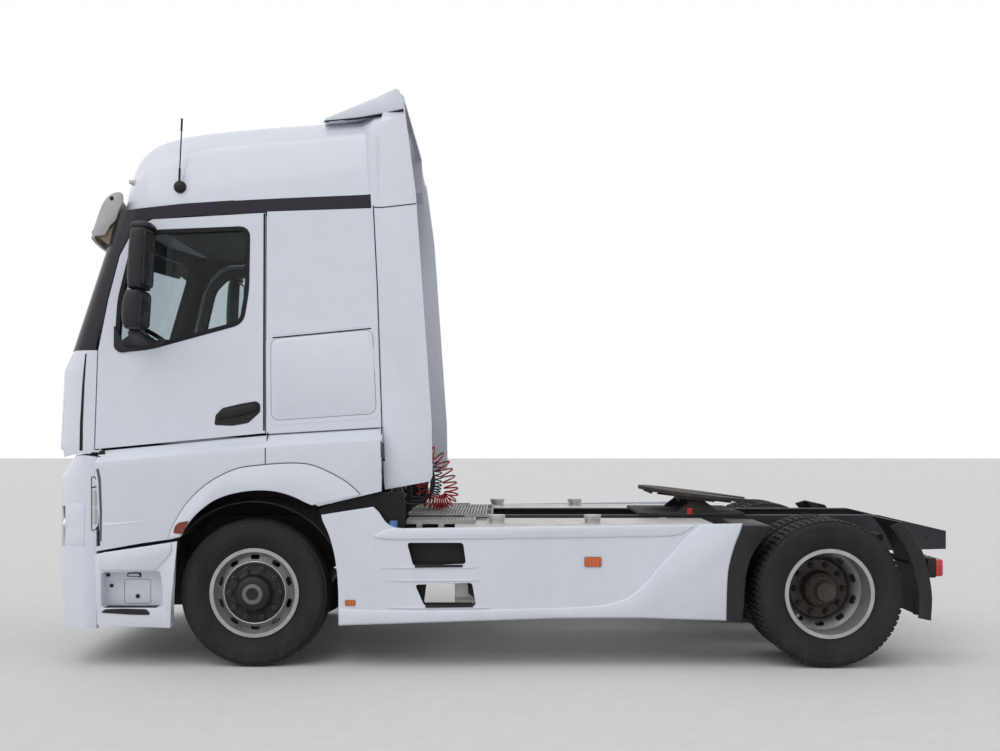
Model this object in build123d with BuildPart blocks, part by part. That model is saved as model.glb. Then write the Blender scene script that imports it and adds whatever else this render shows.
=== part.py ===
"""Two-axle forward-control tractor unit for semi-trailers, with a high-roof sleeper cab.

Millimetres. +X points to the rear, +Z up, and the driver's side is at -Y. The origin is on the
ground at the middle of the vehicle's length and width. Stations along the vehicle are measured
from the front axle, positive to the rear. Most pieces are drawn on the driver's side, where
distances from the middle are given as positive numbers, and mirrored for the other side.
"""
import os
from math import cos, hypot, radians, sin, tan

from build123d import *

os.makedirs("parts", exist_ok=True)

# Driving dimensions of the whole vehicle
wheelbase = 3850
front_overhang = 1440
rear_overhang = 1080
overall_length = front_overhang + wheelbase + rear_overhang
front_axle_x = front_overhang - overall_length / 2
panel_gap = 8
seat_gap = 0.3
pin_play = 0.05

# Wheels and tyres
tyre_radius = 497
tyre_width = 315
tread_width = 250
bead_radius = 288
flange_radius = 300
rim_width = 254
rim_wall = 14
front_track = 2070
twin_spacing = 350
stud_circle = 335
stud_count = 10
axle_z = tyre_radius

# Widths from the middle
lower_wall = 40
tyre_room = 7.5
lower_half_width = front_track / 2 + tyre_width / 2 + tyre_room + lower_wall
cab_half_width = lower_half_width - 90
bumper_half_width = lower_half_width - 50
skirt_y = lower_half_width + 15
rear_outer_y = lower_half_width - 155
lamp_bar_y = lower_half_width - 10
guard_outer = lower_half_width + 2
guard_inner = rear_outer_y - twin_spacing - 135

# Steering
kingpin_y = front_track / 2 - 185
kingpin_radius = 24
steer_arm = 190

# Chassis frame
rail_outer_y = 417
rail_flange = 75
rail_web = 9
rail_top_z = 965
rail_depth = 260
rail_front_x = -1180
rail_low_z = rail_top_z - rail_depth
web_y = rail_outer_y - rail_web
tail_x = wheelbase + rear_overhang
slope_x = tail_x - 490

# Cab body
cab_wall = 55
belt_z = 2112
chin_z = 1481
floor_z = 1500
floor_thickness = 40
floor_half_width = cab_half_width - 65
firewall_x = -1095
flap_half_width = cab_half_width - 75
tilt_x = -1150
tilt_z = 950
tilt_pin_radius = 22
tilt_sweep_front = 545
tilt_sweep_corner = 482
reach = cab_half_width + 250

# Hinges of doors, flap and locker lids
door_hinge_x = -1041
door_hinge_y = cab_half_width - 9
door_pin_radius = 5
door_relief = 20
flap_hinge_x = -1352
flap_hinge_z = 2080
flap_hinge_y = 280
flap_pin_radius = 6
lid_gap = 9
lid_pin_radius = 5
lid_pin_depth = 8

# The cab in plan: height, front at the middle, front at the sides, sides drawn in by, rear wall
cab_sections = (
    (1380, -1425, -1310, 0, 877),
    (chin_z, -front_overhang, -1330, 0, 872),
    (1990, -1420, -1302, 0, 850),
    (belt_z, -1375, -1245, 0, 846),
    (3230, -1017, -879, 18, 798),
)
cab_corner_radius = 190

# Lines of the side view: station, height
cab_bottom_line = ((-1178, 1400), (-1055, 1456), (79, 1564), (872, 1611))
band_lower_line = ((-1300, 2985), (-669, 3018), (82, 3061), (810, 3085))
band_upper_line = ((-1300, 3055), (-880, 3072), (-490, 3115), (64, 3152), (810, 3178))
door_rear_x = 71
door_outline = (
    (-1072, 1462), (door_rear_x, 1570), (door_rear_x, 3053), (-690, 3008), (-768, 2972),
    (-842, 2890), (-908, 2765), (-984, 2467), (-1050, 2128),
)
window_outline = (
    (-924, 2128), (-904, 2464), (-823, 2800), (-703, 2918), (-51, 2944),
    (-57, 2531), (-92, 2318), (-703, 2150),
)
locker_outline = ((110, 1650), (822, 1698), (796, 2270), (106, 2204))


def side_plane(y):
    """A plane facing the driver's side at the given y: local x is the station, local y the height."""
    return Plane(origin=(front_axle_x, y, 0), x_dir=(1, 0, 0), z_dir=(0, -1, 0))


def plan_plane(z):
    """A level plane at the given height: local x is the station, local y is world Y."""
    return Plane(origin=(front_axle_x, 0, z))


def cross_plane(x):
    """A plane across the vehicle at a station: local x is world Y, local y the height."""
    return Plane(origin=(front_axle_x + x, 0, 0), x_dir=(0, 1, 0), z_dir=(1, 0, 0))


def line_height(line, x):
    """Height of a side-view line at a station."""
    for (x0, z0), (x1, z1) in zip(line, line[1:]):
        if x <= x1:
            break
    return z0 + (z1 - z0) * (x - x0) / (x1 - x0)


def side_prism(points, y_outer, y_inner, radius=0, grow=0):
    """A side-view outline extruded between two distances from the middle on the driver's side."""
    with BuildPart() as prism:
        with BuildSketch(side_plane(-y_inner)) as face:
            Polygon(*points, align=None)
            if grow:
                offset(amount=grow, kind=Kind.INTERSECTION)
            if radius:
                fillet(face.vertices(), radius)
        extrude(amount=y_outer - y_inner)
    return prism.part


def front_prism(points, x0, x1, radius=0):
    """A front-view outline of (y, height) extruded between two stations."""
    with BuildPart() as prism:
        with BuildSketch(cross_plane(x0)) as face:
            Polygon(*points, align=None)
            if radius:
                fillet(face.vertices(), radius)
        extrude(amount=x1 - x0)
    return prism.part


def box_between(x0, x1, y0, y1, z0, z1):
    """A block between stations, widths and heights."""
    with BuildPart() as block:
        with BuildSketch(plan_plane(z0)):
            Polygon((x0, y0), (x1, y0), (x1, y1), (x0, y1), align=None)
        extrude(amount=z1 - z0)
    return block.part


def near_box(x0, x1, y_outer, y_inner, z0, z1):
    """A block on the driver's side between two distances from the middle."""
    return box_between(x0, x1, -y_outer, -y_inner, z0, z1)


def drum(x, z, radius, y_outer, y_inner):
    """A cylinder across the vehicle, between two distances from the middle."""
    with BuildPart() as roll:
        with BuildSketch(side_plane(-y_inner)):
            with Locations((x, z)):
                Circle(radius)
        extrude(amount=y_outer - y_inner)
    return roll.part


def upright(x, y, radius, z0, z1):
    """An upright cylinder."""
    with BuildPart() as pin:
        with BuildSketch(plan_plane(z0)):
            with Locations((x, y)):
                Circle(radius)
        extrude(amount=z1 - z0)
    return pin.part


def both_sides(part, mode=Mode.ADD):
    """Adds or cuts a part and its mirror image."""
    add(part, mode=mode)
    add(mirror(part, about=Plane.XZ), mode=mode)


def save(built, name):
    """Labels a finished piece and writes its STEP file."""
    built.part.label = name
    export_step(built.part, f"parts/{name}.step")


def save_pair(built, name):
    """Writes the piece of the driver's side and its mirror image for the other side."""
    save(built, f"{name}_left")
    with BuildPart() as other:
        add(mirror(built.part, about=Plane.XZ))
    save(other, f"{name}_right")


def section_at(z):
    """The cab's plan sizes at a height, between the rows of the table."""
    for low, high in zip(cab_sections, cab_sections[1:]):
        if z <= high[0]:
            break
    share = (z - low[0]) / (high[0] - low[0])
    return [a + (b - a) * share for a, b in zip(low[1:], high[1:])]


def cab_form(inset, z_low, z_high):
    """The cab's outer form, drawn in by inset, between two heights."""
    inner = [row[0] for row in cab_sections if z_low < row[0] < z_high]
    with BuildPart() as form:
        for z in (z_low, *inner, z_high):
            front, edge, drawn_in, rear = section_at(z)
            half = cab_half_width - drawn_in - inset
            front, edge, rear = front + inset, edge + inset, rear - inset
            with BuildSketch(plan_plane(z)) as outline:
                with BuildLine():
                    Polyline((edge, half), (rear, half), (rear, -half), (edge, -half))
                    ThreePointArc((edge, -half), (front, 0), (edge, half))
                make_face()
                fillet(outline.vertices().group_by(Axis.X)[0], cab_corner_radius - inset / 2)
        loft(ruled=True)
    return form.part


(lid_low_x, lid_low_z), (lid_high_x, lid_high_z) = locker_outline[3], locker_outline[2]
lid_pin_length = hypot(lid_high_x - lid_low_x, lid_high_z - lid_low_z)
lid_direction = Vector(lid_high_x - lid_low_x, 0, lid_high_z - lid_low_z).normalized()
lid_pin_y = cab_half_width - 2 - lid_pin_depth
lid_pin_start = Vector(front_axle_x + lid_low_x, -lid_pin_y, lid_low_z) + lid_pin_depth * Vector(
    lid_direction.Z, 0, -lid_direction.X)


def lid_pin(radius, start, end):
    """A cylinder on the hinge line of the lid, between two distances from its front corner."""
    with BuildPart() as pin:
        with BuildSketch(Plane(origin=lid_pin_start + start * lid_direction, z_dir=lid_direction)):
            Circle(radius)
        extrude(amount=end - start)
    return pin.part


# Cab walls: a tapering box, cut at the door sills, at the top of the black band and where the
# front swings over the bumper when the cab tilts
above_bottom = side_prism([(-1600, 1400), *cab_bottom_line, (1000, 1615), (1000, 3400),
                           (-1600, 3400)], reach, -reach)
below_roof = side_prism([(-1600, 1200), (1300, 1200), (1300, 3178), *reversed(band_upper_line),
                         (-1600, 3055)], reach, -reach)
front_sweep = drum(tilt_x, tilt_z, tilt_sweep_front, flap_half_width, -flap_half_width)
corner_sweep = drum(tilt_x, tilt_z, tilt_sweep_corner, bumper_half_width + 5,
                    -bumper_half_width - 5)
cab_walls = cab_form(0, 1380, 3200) - cab_form(cab_wall, 1379, 3201)
cab_walls = (cab_walls & below_roof & above_bottom) - front_sweep - corner_sweep

band_region = side_prism([
    (-1600, belt_z + 14), (-1020, belt_z + 14), (-800, 2900), (-600, 2960), (82, 3030),
    *band_lower_line[2:], (1300, 3085), (1300, 3178), *reversed(band_upper_line), (-1600, 3055),
], reach, -reach)
door_hole = side_prism(door_outline, reach, 900, grow=panel_gap)
locker_hole = side_prism(locker_outline, reach, cab_half_width - 70, grow=lid_gap)
screen_low_y = cab_half_width - 135
screen_high_y = cab_half_width - 190
windscreen_opening = front_prism([
    (-screen_low_y, belt_z + 26), (screen_low_y, belt_z + 26), (screen_high_y, 2975),
    (-screen_high_y, 2975)], -1500, -900, 60)
flap_space = box_between(-1600, firewall_x, -flap_half_width - panel_gap,
                         flap_half_width + panel_gap, 1300, belt_z + 15)

# Cab shell: side walls, rear wall, floor, firewall and the arms of the tilt hinge
arm_outline = (
    (tilt_x - 45, tilt_z - 40), (tilt_x + 480, tilt_z + 60), (tilt_x + 480, floor_z),
    (tilt_x + 330, floor_z), (tilt_x + 300, tilt_z + 160), (tilt_x - 45, tilt_z + 45),
)
arm_y = rail_outer_y + 20
arm_thickness = 48
with BuildPart() as cab_shell:
    add(cab_walls)
    add(band_region, mode=Mode.SUBTRACT)
    add(flap_space, mode=Mode.SUBTRACT)
    both_sides(door_hole, Mode.SUBTRACT)
    both_sides(locker_hole, Mode.SUBTRACT)
    add(box_between(firewall_x, 830, -floor_half_width, floor_half_width,
                    floor_z, floor_z + floor_thickness))
    add(box_between(firewall_x, firewall_x + 30, 63 - cab_half_width, cab_half_width - 63,
                    floor_z, belt_z + 14))
    both_sides(near_box(firewall_x - 35, firewall_x + 5, cab_half_width - 30,
                        cab_half_width - 90, floor_z, belt_z + 14))
    with BuildSketch(cross_plane(door_rear_x + 14)):
        Polygon((floor_half_width - 25, floor_z), (floor_half_width, floor_z),
                (floor_half_width, 1620), (floor_half_width + 15, 1620),
                (floor_half_width + 15, 1640), (floor_half_width - 25, 1640), align=None)
        mirror(about=Plane.YZ)
    extrude(amount=745)
    add(box_between(770, 830, -floor_half_width, floor_half_width, floor_z, 1700))
    with BuildPart(mode=Mode.PRIVATE) as arm:
        add(side_prism(arm_outline, arm_y + arm_thickness, arm_y))
        add(drum(tilt_x, tilt_z, tilt_pin_radius + pin_play, reach, 0), mode=Mode.SUBTRACT)
    both_sides(arm.part)
    # lower pivots of the doors, brackets that carry the flap, and pins of the locker lids
    both_sides(near_box(-1100, -1025, door_hinge_y + 8, door_hinge_y - 14, 1441, 1456))
    both_sides(upright(door_hinge_x, -door_hinge_y, door_pin_radius, 1450, 1530))
    with BuildPart(mode=Mode.PRIVATE) as bracket:
        add(drum(flap_hinge_x, flap_hinge_z, 14, flap_hinge_y + 10, flap_hinge_y - 10))
        add(near_box(flap_hinge_x, firewall_x + 5, flap_hinge_y + 10, flap_hinge_y - 10,
                     flap_hinge_z - 14, flap_hinge_z + 14))
        add(drum(flap_hinge_x, flap_hinge_z, flap_pin_radius, flap_hinge_y + 26,
                 flap_hinge_y - 26))
    both_sides(bracket.part)
    both_sides(lid_pin(lid_pin_radius, -25, 30))
    both_sides(lid_pin(lid_pin_radius, lid_pin_length - 30, lid_pin_length + 20))
save(cab_shell, "cab_shell")

# Black band with the screen pillars and the header above the windscreen
with BuildPart() as roof_band:
    add(cab_walls)
    add(band_region, mode=Mode.INTERSECT)
    both_sides(door_hole, Mode.SUBTRACT)
    add(windscreen_opening, mode=Mode.SUBTRACT)
    with BuildPart(mode=Mode.PRIVATE) as relief:
        add(side_prism(door_outline, reach, 900, grow=door_relief))
        add(box_between(-1200, -900, -reach, reach, 2100, 2262), mode=Mode.INTERSECT)
    both_sides(relief.part, Mode.SUBTRACT)
    both_sides(upright(door_hinge_x, -door_hinge_y, door_pin_radius, 2060, 2310))
save(roof_band, "roof_band")

# Windscreen
glass_thickness = 8
with BuildPart() as windscreen:
    add(cab_form(6, belt_z, 3100))
    add(cab_form(6 + glass_thickness, belt_z - 1, 3101), mode=Mode.SUBTRACT)
    add(windscreen_opening, mode=Mode.INTERSECT)
save(windscreen, "windscreen")

# Grille, split between the flap and the bumper: half widths narrow downwards and the edges of
# the louvres sag more and more towards the middle
grille_top_z = 1715
grille_corner_z = 1000
grille_top_half = cab_half_width - 165
grille_low_half = cab_half_width - 360
louvre_count = 5
louvre_gap = 16
lowest_sag = 150
grille_frame = 24


def grille_half_width(z):
    """Half width of the grille opening at a height."""
    share = (grille_top_z - z) / (grille_top_z - grille_corner_z)
    return grille_top_half + (grille_low_half - grille_top_half) * share


def grille_face(top_z, bottom_z, sag_top, sag_bottom, inset=0):
    """The front-view region of the grille between two sagging edges, on the current sketch."""
    top = grille_half_width(top_z) - inset
    low = grille_half_width(bottom_z) - inset
    with BuildLine() as outline:
        if sag_top:
            ThreePointArc((-top, top_z), (0, top_z - sag_top), (top, top_z))
        else:
            Line((-top, top_z), (top, top_z))
        Line((top, top_z), (low, bottom_z))
        ThreePointArc((low, bottom_z), (0, bottom_z - sag_bottom), (-low, bottom_z))
        Line((-low, bottom_z), (-top, top_z))
    make_face(outline.edges())


def louvres(outer, inner, split_low, split_high):
    """The louvres and their frame between an outer and an inner form and two heights."""
    pitch = (grille_top_z - grille_corner_z) / louvre_count
    with BuildPart() as slats:
        with BuildSketch(cross_plane(-1600)):
            grille_face(grille_top_z, grille_corner_z, 0, lowest_sag)
        extrude(amount=500)
        for row in range(1, louvre_count):
            z = grille_top_z - row * pitch
            sag = lowest_sag * row / louvre_count
            with BuildSketch(cross_plane(-1600)):
                grille_face(z, z - louvre_gap, sag, sag, grille_frame)
            extrude(amount=500, mode=Mode.SUBTRACT)
        add(outer, mode=Mode.INTERSECT)
        add(inner, mode=Mode.SUBTRACT)
        add(box_between(-1600, -1000, -reach, reach, split_low, split_high), mode=Mode.INTERSECT)
    return slats


with BuildPart() as grille_opening:
    with BuildSketch(cross_plane(-1600)):
        grille_face(grille_top_z, grille_corner_z, 0, lowest_sag)
    extrude(amount=500)
grille = louvres(cab_form(8, 1380, belt_z), cab_form(34, 1379, belt_z + 1), 1380, belt_z)
with BuildPart() as grille_upper:
    add(grille.part)
    add(front_sweep, mode=Mode.SUBTRACT)
save(grille_upper, "grille_upper")

# Front flap, hung on two brackets below the windscreen
with BuildPart() as front_flap:
    add(cab_walls)
    add(box_between(-1600, -1105, -flap_half_width, flap_half_width, 1300, belt_z),
        mode=Mode.INTERSECT)
    add(grille_opening.part, mode=Mode.SUBTRACT)
    both_sides(near_box(flap_hinge_x - 19, flap_hinge_x + 90, flap_hinge_y + 18,
                        flap_hinge_y - 18, flap_hinge_z - 19, belt_z + 1), Mode.SUBTRACT)
    both_sides(drum(flap_hinge_x, flap_hinge_z, flap_pin_radius + pin_play, flap_hinge_y + 28,
                    flap_hinge_y - 28), Mode.SUBTRACT)
save(front_flap, "front_flap")

# Doors with their windows
with BuildPart() as door:
    add(cab_walls)
    add(side_prism(door_outline, reach, 900), mode=Mode.INTERSECT)
    add(side_prism(window_outline, reach, 900, 60), mode=Mode.SUBTRACT)
    for z0, z1 in ((1450, 1533), (2057, 2315)):
        add(upright(door_hinge_x, -door_hinge_y, door_pin_radius + pin_play, z0, z1),
            mode=Mode.SUBTRACT)
save_pair(door, "door")
with BuildPart() as door_glass:
    add(cab_form(24, belt_z - 60, 3100))
    add(cab_form(29, belt_z - 61, 3101), mode=Mode.SUBTRACT)
    add(side_prism(window_outline, reach, 900, 60), mode=Mode.INTERSECT)
save_pair(door_glass, "door_glass")

# Locker lids
with BuildPart() as locker_lid:
    add(cab_walls)
    add(side_prism(locker_outline, reach, cab_half_width - 62, 6), mode=Mode.INTERSECT)
    add(lid_pin(lid_pin_radius + pin_play, -25, 32), mode=Mode.SUBTRACT)
    add(lid_pin(lid_pin_radius + pin_play, lid_pin_length - 32, lid_pin_length + 20),
        mode=Mode.SUBTRACT)
save_pair(locker_lid, "locker_lid")

# High roof: station, lower edge, narrower than the cab by, crease, by, top, by
roof_sections = (
    (-1010, 3040, 450, 3200, 460, 3330, 590),
    (-930, 3040, 190, 3215, 220, 3450, 410),
    (-800, 3040, 65, 3320, 90, 3590, 310),
    (-545, 3060, 22, 3462, 65, 3657, 290),
    (-288, 3080, 16, 3510, 65, 3685, 280),
    (798, 3120, 16, 3600, 65, 3760, 260),
)
roof_wall = 30


def roof_form(inset):
    """The roof's outer form drawn in by inset on all sides but the bottom."""
    last = len(roof_sections) - 1
    with BuildPart() as form:
        for index, (x, z0, by0, z1, by1, z2, by2) in enumerate(roof_sections):
            shift = inset if index == 0 else -inset if index == last else 0
            w0, w1, w2 = (cab_half_width - by - inset for by in (by0, by1, by2))
            with BuildSketch(cross_plane(x + shift)):
                Polygon((-w0, z0), (w0, z0), (w1, z1), (w2, z2 - inset), (-w2, z2 - inset),
                        (-w1, z1), align=None)
        loft(ruled=True)
    return form.part


roof_outer = roof_form(0)
antenna_x = -509
antenna_z = 3230
with BuildPart() as cab_roof:
    add(roof_outer)
    add(roof_form(roof_wall), mode=Mode.SUBTRACT)
    add(below_roof, mode=Mode.SUBTRACT)
    # foot and mast of the antenna on the driver's side
    add(drum(antenna_x, antenna_z, 42, cab_half_width - 10, cab_half_width - 60))
    with BuildSketch(plan_plane(antenna_z)):
        with Locations((antenna_x, -cab_half_width + 14)):
            Circle(12)
    with BuildSketch(plan_plane(antenna_z + 460)):
        with Locations((antenna_x + 17, -cab_half_width + 14)):
            Circle(3)
    loft()
    add(roof_form(roof_wall), mode=Mode.SUBTRACT)
save(cab_roof, "cab_roof")

# Sun visor: height, station of its ends
visor_levels = ((2898, -1134), (2945, -1120), (3190, -960))
visor_half_width = cab_half_width - 100
visor_bulge = 130
visor_thickness = 22
with BuildPart() as sun_visor:
    for z, x in visor_levels:
        with BuildSketch(plan_plane(z)):
            with BuildLine():
                ThreePointArc((x, -visor_half_width), (x - visor_bulge, 0), (x, visor_half_width))
                Line((x, visor_half_width), (x + visor_thickness, visor_half_width))
                ThreePointArc((x + visor_thickness, visor_half_width),
                              (x + visor_thickness - visor_bulge, 0),
                              (x + visor_thickness, -visor_half_width))
                Line((x + visor_thickness, -visor_half_width), (x, -visor_half_width))
            make_face()
    loft(ruled=True)
    both_sides(side_prism([(-1125, 2910), (-1110, 2945), (-950, 3190), (-925, 3185), (-935, 3110),
                           (-1040, 2920)], visor_half_width, visor_half_width - 18))
    with BuildPart(mode=Mode.PRIVATE) as stays:
        for x, y in ((-1100, -800), (-1175, 0), (-1100, 800)):
            add(box_between(x, -850, y - 20, y + 20, 3015, 3045))
        add(cab_form(0, 1380, 3200), mode=Mode.SUBTRACT)
        add(roof_outer, mode=Mode.SUBTRACT)
    add(stays.part)
    add(cab_form(0, 1380, 3200), mode=Mode.SUBTRACT)
    add(roof_outer, mode=Mode.SUBTRACT)
save(sun_visor, "sun_visor")

# Roof spoiler and side extenders behind the cab
spoiler_half = cab_half_width - 245
with BuildPart() as roof_spoiler:
    add(side_prism([(417, 3700), (430, 3742), (587, 3779), (800, 3868), (951, 3932), (985, 3905),
                    (1000, 3600), (417, 3600)], spoiler_half, -spoiler_half))
    add(side_prism([(480, 3590), (600, 3750), (800, 3836), (940, 3896), (1010, 3870),
                    (1010, 3590)], spoiler_half - 30, 30 - spoiler_half), mode=Mode.SUBTRACT)
    add(roof_outer, mode=Mode.SUBTRACT)
save(roof_spoiler, "roof_spoiler")
extender_wall = 28
extender_y = cab_half_width - 2
with BuildPart() as side_extender:
    add(side_prism([
        (780, 3600), (799, 3640), (1012, 3720), (1081, 3197), (1188, 1651), (1195, 1240),
        (1180, 1205), (877, 1189), (840, 1481), (840, 2112), (780, 3178),
    ], extender_y, extender_y - extender_wall))
    # the upper part leans in over the roof's shoulder
    add(front_prism([(-extender_y, 3560), (-extender_y + extender_wall, 3560),
                     (-spoiler_half + 12, 3790), (-spoiler_half, 3830), (-extender_y + 30, 3700),
                     (-extender_y, 3640)], 850, 985))
    add(cab_form(0, 1380, 3200), mode=Mode.SUBTRACT)
    add(roof_outer, mode=Mode.SUBTRACT)
    add(roof_spoiler.part, mode=Mode.SUBTRACT)
save_pair(side_extender, "side_extender")

# Lower body side with the wheel arch, wider than the cab above the bevel
bevel_drop = 75
shelf_thickness = 40
fender_front_x = -1041
fender_rear_x = 862
shelf_line = ((fender_front_x, 1449), (79, 1554), (fender_rear_x, 1600))
with BuildPart() as fender:
    with BuildSketch(side_plane(-lower_half_width + lower_wall)):
        with BuildLine():
            Polyline((-476, 880), (-529, 866), (-1005, 800), (fender_front_x, 1449 - bevel_drop),
                     (79, 1554 - bevel_drop), (fender_rear_x, 1600 - bevel_drop),
                     (fender_rear_x, 1183), (441, 1084))
            ThreePointArc((441, 1084), (270, 1164), (69, 1198))
            ThreePointArc((69, 1198), (-260, 1128), (-476, 880))
        make_face()
    extrude(amount=lower_wall)
    for x, z in shelf_line:
        with BuildSketch(cross_plane(x)):
            Polygon((-lower_half_width, z - bevel_drop), (5 - cab_half_width, z),
                    (-floor_half_width, z), (-floor_half_width, z - shelf_thickness),
                    (-cab_half_width, z - shelf_thickness),
                    (lower_wall - lower_half_width, z - bevel_drop - 20),
                    (lower_wall - lower_half_width, z - bevel_drop - 40),
                    (-lower_half_width, z - bevel_drop - 40), align=None)
    loft(ruled=True)
    add(corner_sweep, mode=Mode.SUBTRACT)
    add(near_box(-1060, -1016, cab_half_width + 5, door_hinge_y - 23, 1433, 1470),
        mode=Mode.SUBTRACT)
save_pair(fender, "fender")

# Mirrors: a tall housing and a lower one on an arm that stands out of the door
with BuildPart() as door_mirror:
    mirror_outer = cab_half_width + 330
    with BuildSketch(side_plane(-mirror_outer)):
        Polygon((-790, 2790), (-760, 2905), (-640, 2905), (-655, 2500), (-800, 2500), align=None)
    extrude(amount=-215)
    with BuildSketch(side_plane(-mirror_outer)):
        Polygon((-812, 2494), (-655, 2494), (-662, 2250), (-690, 2222), (-790, 2222),
                (-816, 2262), align=None)
    extrude(amount=-215)
    add(near_box(-760, -700, mirror_outer - 60, mirror_outer - 160, 2490, 2500))
    add(side_prism([(-800, 2905), (-785, 2965), (-640, 2965), (-640, 2905)], mirror_outer - 20,
                   cab_half_width - 70))
    add(side_prism([(-900, 2128), (-830, 2236), (-690, 2236), (-560, 2180), (-600, 2140)],
                   mirror_outer - 60, cab_half_width - 70))
    add(cab_form(0, 1380, 3200), mode=Mode.SUBTRACT)
save_pair(door_mirror, "door_mirror")

# Cab interior
wheel_ring_radius = 225
driver_y = cab_half_width / 2 - 15
with BuildPart() as dashboard:
    add(side_prism([(firewall_x + 30, 1700), (-960, 1700), (-900, 1980), (-760, 2030),
                    (-790, 2110), (firewall_x + 30, 2118)], cab_half_width - 110,
                   110 - cab_half_width))
    with BuildSketch(Plane(origin=(front_axle_x - 874, -driver_y, 2040), z_dir=(0.6, 0, 0.8))):
        Circle(35)
    extrude(amount=200)
    hub = Plane(origin=(front_axle_x - 760, -driver_y, 2192), z_dir=(0.6, 0, 0.8))
    with BuildSketch(Plane(origin=hub.origin + hub.x_dir * wheel_ring_radius, x_dir=hub.x_dir,
                           z_dir=hub.y_dir)):
        Circle(16)
    revolve(axis=Axis(hub.origin, hub.z_dir))
    with BuildSketch(hub.offset(-10)):
        Rectangle(70, 2 * wheel_ring_radius)
    extrude(amount=20)
save(dashboard, "dashboard")
with BuildPart() as seats_and_bunk:
    for y in (-driver_y, driver_y):
        add(box_between(-520, -100, y - 180, y + 180, floor_z + floor_thickness, 1850))
        with BuildSketch(side_plane(y + 260)):
            Polygon((-600, 1880), (-590, 1990), (-190, 1970), (-90, 2480), (-60, 2690),
                    (30, 2690), (20, 2480), (-60, 1850), (-560, 1850), align=None)
        extrude(amount=520)
    add(box_between(190, 770, -cab_half_width + 110, cab_half_width - 110, 1980, 2100))
    add(box_between(210, 766, -cab_half_width + 150, cab_half_width - 150,
                    floor_z + floor_thickness, 1980))
save(seats_and_bunk, "seats_and_bunk")

# Frame rails, open channels facing inwards
rail_top_line = ((rail_front_x, rail_top_z), (slope_x, rail_top_z), (tail_x, 850))
rail_low_line = ((tail_x, 717), (slope_x, rail_low_z), (rail_front_x, rail_low_z))
with BuildPart() as frame_rail:
    add(side_prism([*rail_top_line, *rail_low_line], rail_outer_y, rail_outer_y - rail_flange))
    add(side_prism([
        (rail_front_x - 1, rail_top_z - rail_web), (slope_x, rail_top_z - rail_web),
        (tail_x + 1, 850 - rail_web), (tail_x + 1, 717 + rail_web),
        (slope_x, rail_low_z + rail_web), (rail_front_x - 1, rail_low_z + rail_web),
    ], web_y, 0), mode=Mode.SUBTRACT)
save_pair(frame_rail, "frame_rail")

# Crossmembers: the front one carries the tilt pins, the rear one takes a drawbar coupling
with BuildPart() as crossmember_front:
    add(box_between(-1160, -1060, -web_y, web_y, 740, 930))
    add(box_between(-1130, -1061, -web_y - 1, web_y + 1, 760, 910), mode=Mode.SUBTRACT)
    both_sides(near_box(-1230, -1070, arm_y - 4, rail_outer_y, 780, 990))
    both_sides(drum(tilt_x, tilt_z, tilt_pin_radius, arm_y + arm_thickness + 12, rail_outer_y))
save(crossmember_front, "crossmember_front")
drawbar_hole_radius = 10.5
with BuildPart() as crossmember_rear:
    add(box_between(tail_x - 70, tail_x - 30, -web_y, web_y, 730, 840))
    add(box_between(tail_x - 71, tail_x - 42, -web_y + 12, web_y - 12, 742, 828),
        mode=Mode.SUBTRACT)
    with BuildSketch(cross_plane(tail_x - 70)):
        with Locations((0, 785)):
            with GridLocations(160, 50, 2, 2):
                Circle(drawbar_hole_radius)
    extrude(amount=40, mode=Mode.SUBTRACT)
save(crossmember_rear, "crossmember_rear")

# Engine and gearbox as plain masses on their mounts, with the propeller shaft
with BuildPart() as drive_line:
    add(box_between(-850, 250, -330, 330, 620, 1240))
    add(box_between(250, 1000, -200, 200, 640, 940))
    for x in (-620, 60):
        add(box_between(x, x + 110, -web_y, web_y, 740, 800))
    shaft = Vector(wheelbase - 1240, 0, -263)
    with BuildSketch(Plane(origin=(front_axle_x + 1000, 0, 760), z_dir=shaft)):
        Circle(60)
    extrude(amount=shaft.length)
save(drive_line, "drive_line")

# Front axle, leaf springs, knuckles and track rod
beam_top = 545
beam_low = 450
spring_y = 470
with BuildPart() as front_axle:
    add(front_prism([(-kingpin_y + 30, beam_low), (-spring_y - 60, beam_low),
                     (-spring_y + 70, beam_low - 40), (spring_y - 70, beam_low - 40),
                     (spring_y + 60, beam_low), (kingpin_y - 30, beam_low),
                     (kingpin_y - 30, beam_top), (spring_y + 60, beam_top),
                     (spring_y - 70, beam_top - 25), (70 - spring_y, beam_top - 25),
                     (-spring_y - 60, beam_top), (30 - kingpin_y, beam_top)], -45, 45))
    for y in (-kingpin_y, kingpin_y):
        add(upright(0, y, 50, beam_low, beam_top))
    both_sides(near_box(-130, 130, spring_y + 45, spring_y - 45, beam_top - 30, beam_top + 15))
    for y in (-kingpin_y, kingpin_y):
        add(upright(0, y, kingpin_radius + pin_play, beam_low - 1, beam_top + 1),
            mode=Mode.SUBTRACT)
save(front_axle, "front_axle")
spring_low = beam_top + 15
with BuildPart() as leaf_spring:
    with BuildSketch(side_plane(-spring_y + 40)):
        with BuildLine():
            ThreePointArc((-800, 700), (0, spring_low + 55), (800, 700))
            Line((800, 700), (800, 680))
            ThreePointArc((800, 680), (0, spring_low), (-800, 680))
            Line((-800, 680), (-800, 700))
        make_face()
    extrude(amount=80)
    for x in (-800, 800):
        add(drum(x, 715, 30, spring_y + 40, rail_outer_y))
save_pair(leaf_spring, "leaf_spring")
fork_gap = 3
fork_plate = 32
fork_low = beam_low - fork_gap - fork_plate
stub_root_y = kingpin_y + 80
stub_tip_y = front_track / 2 + 115
stub_radius = 42
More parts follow.
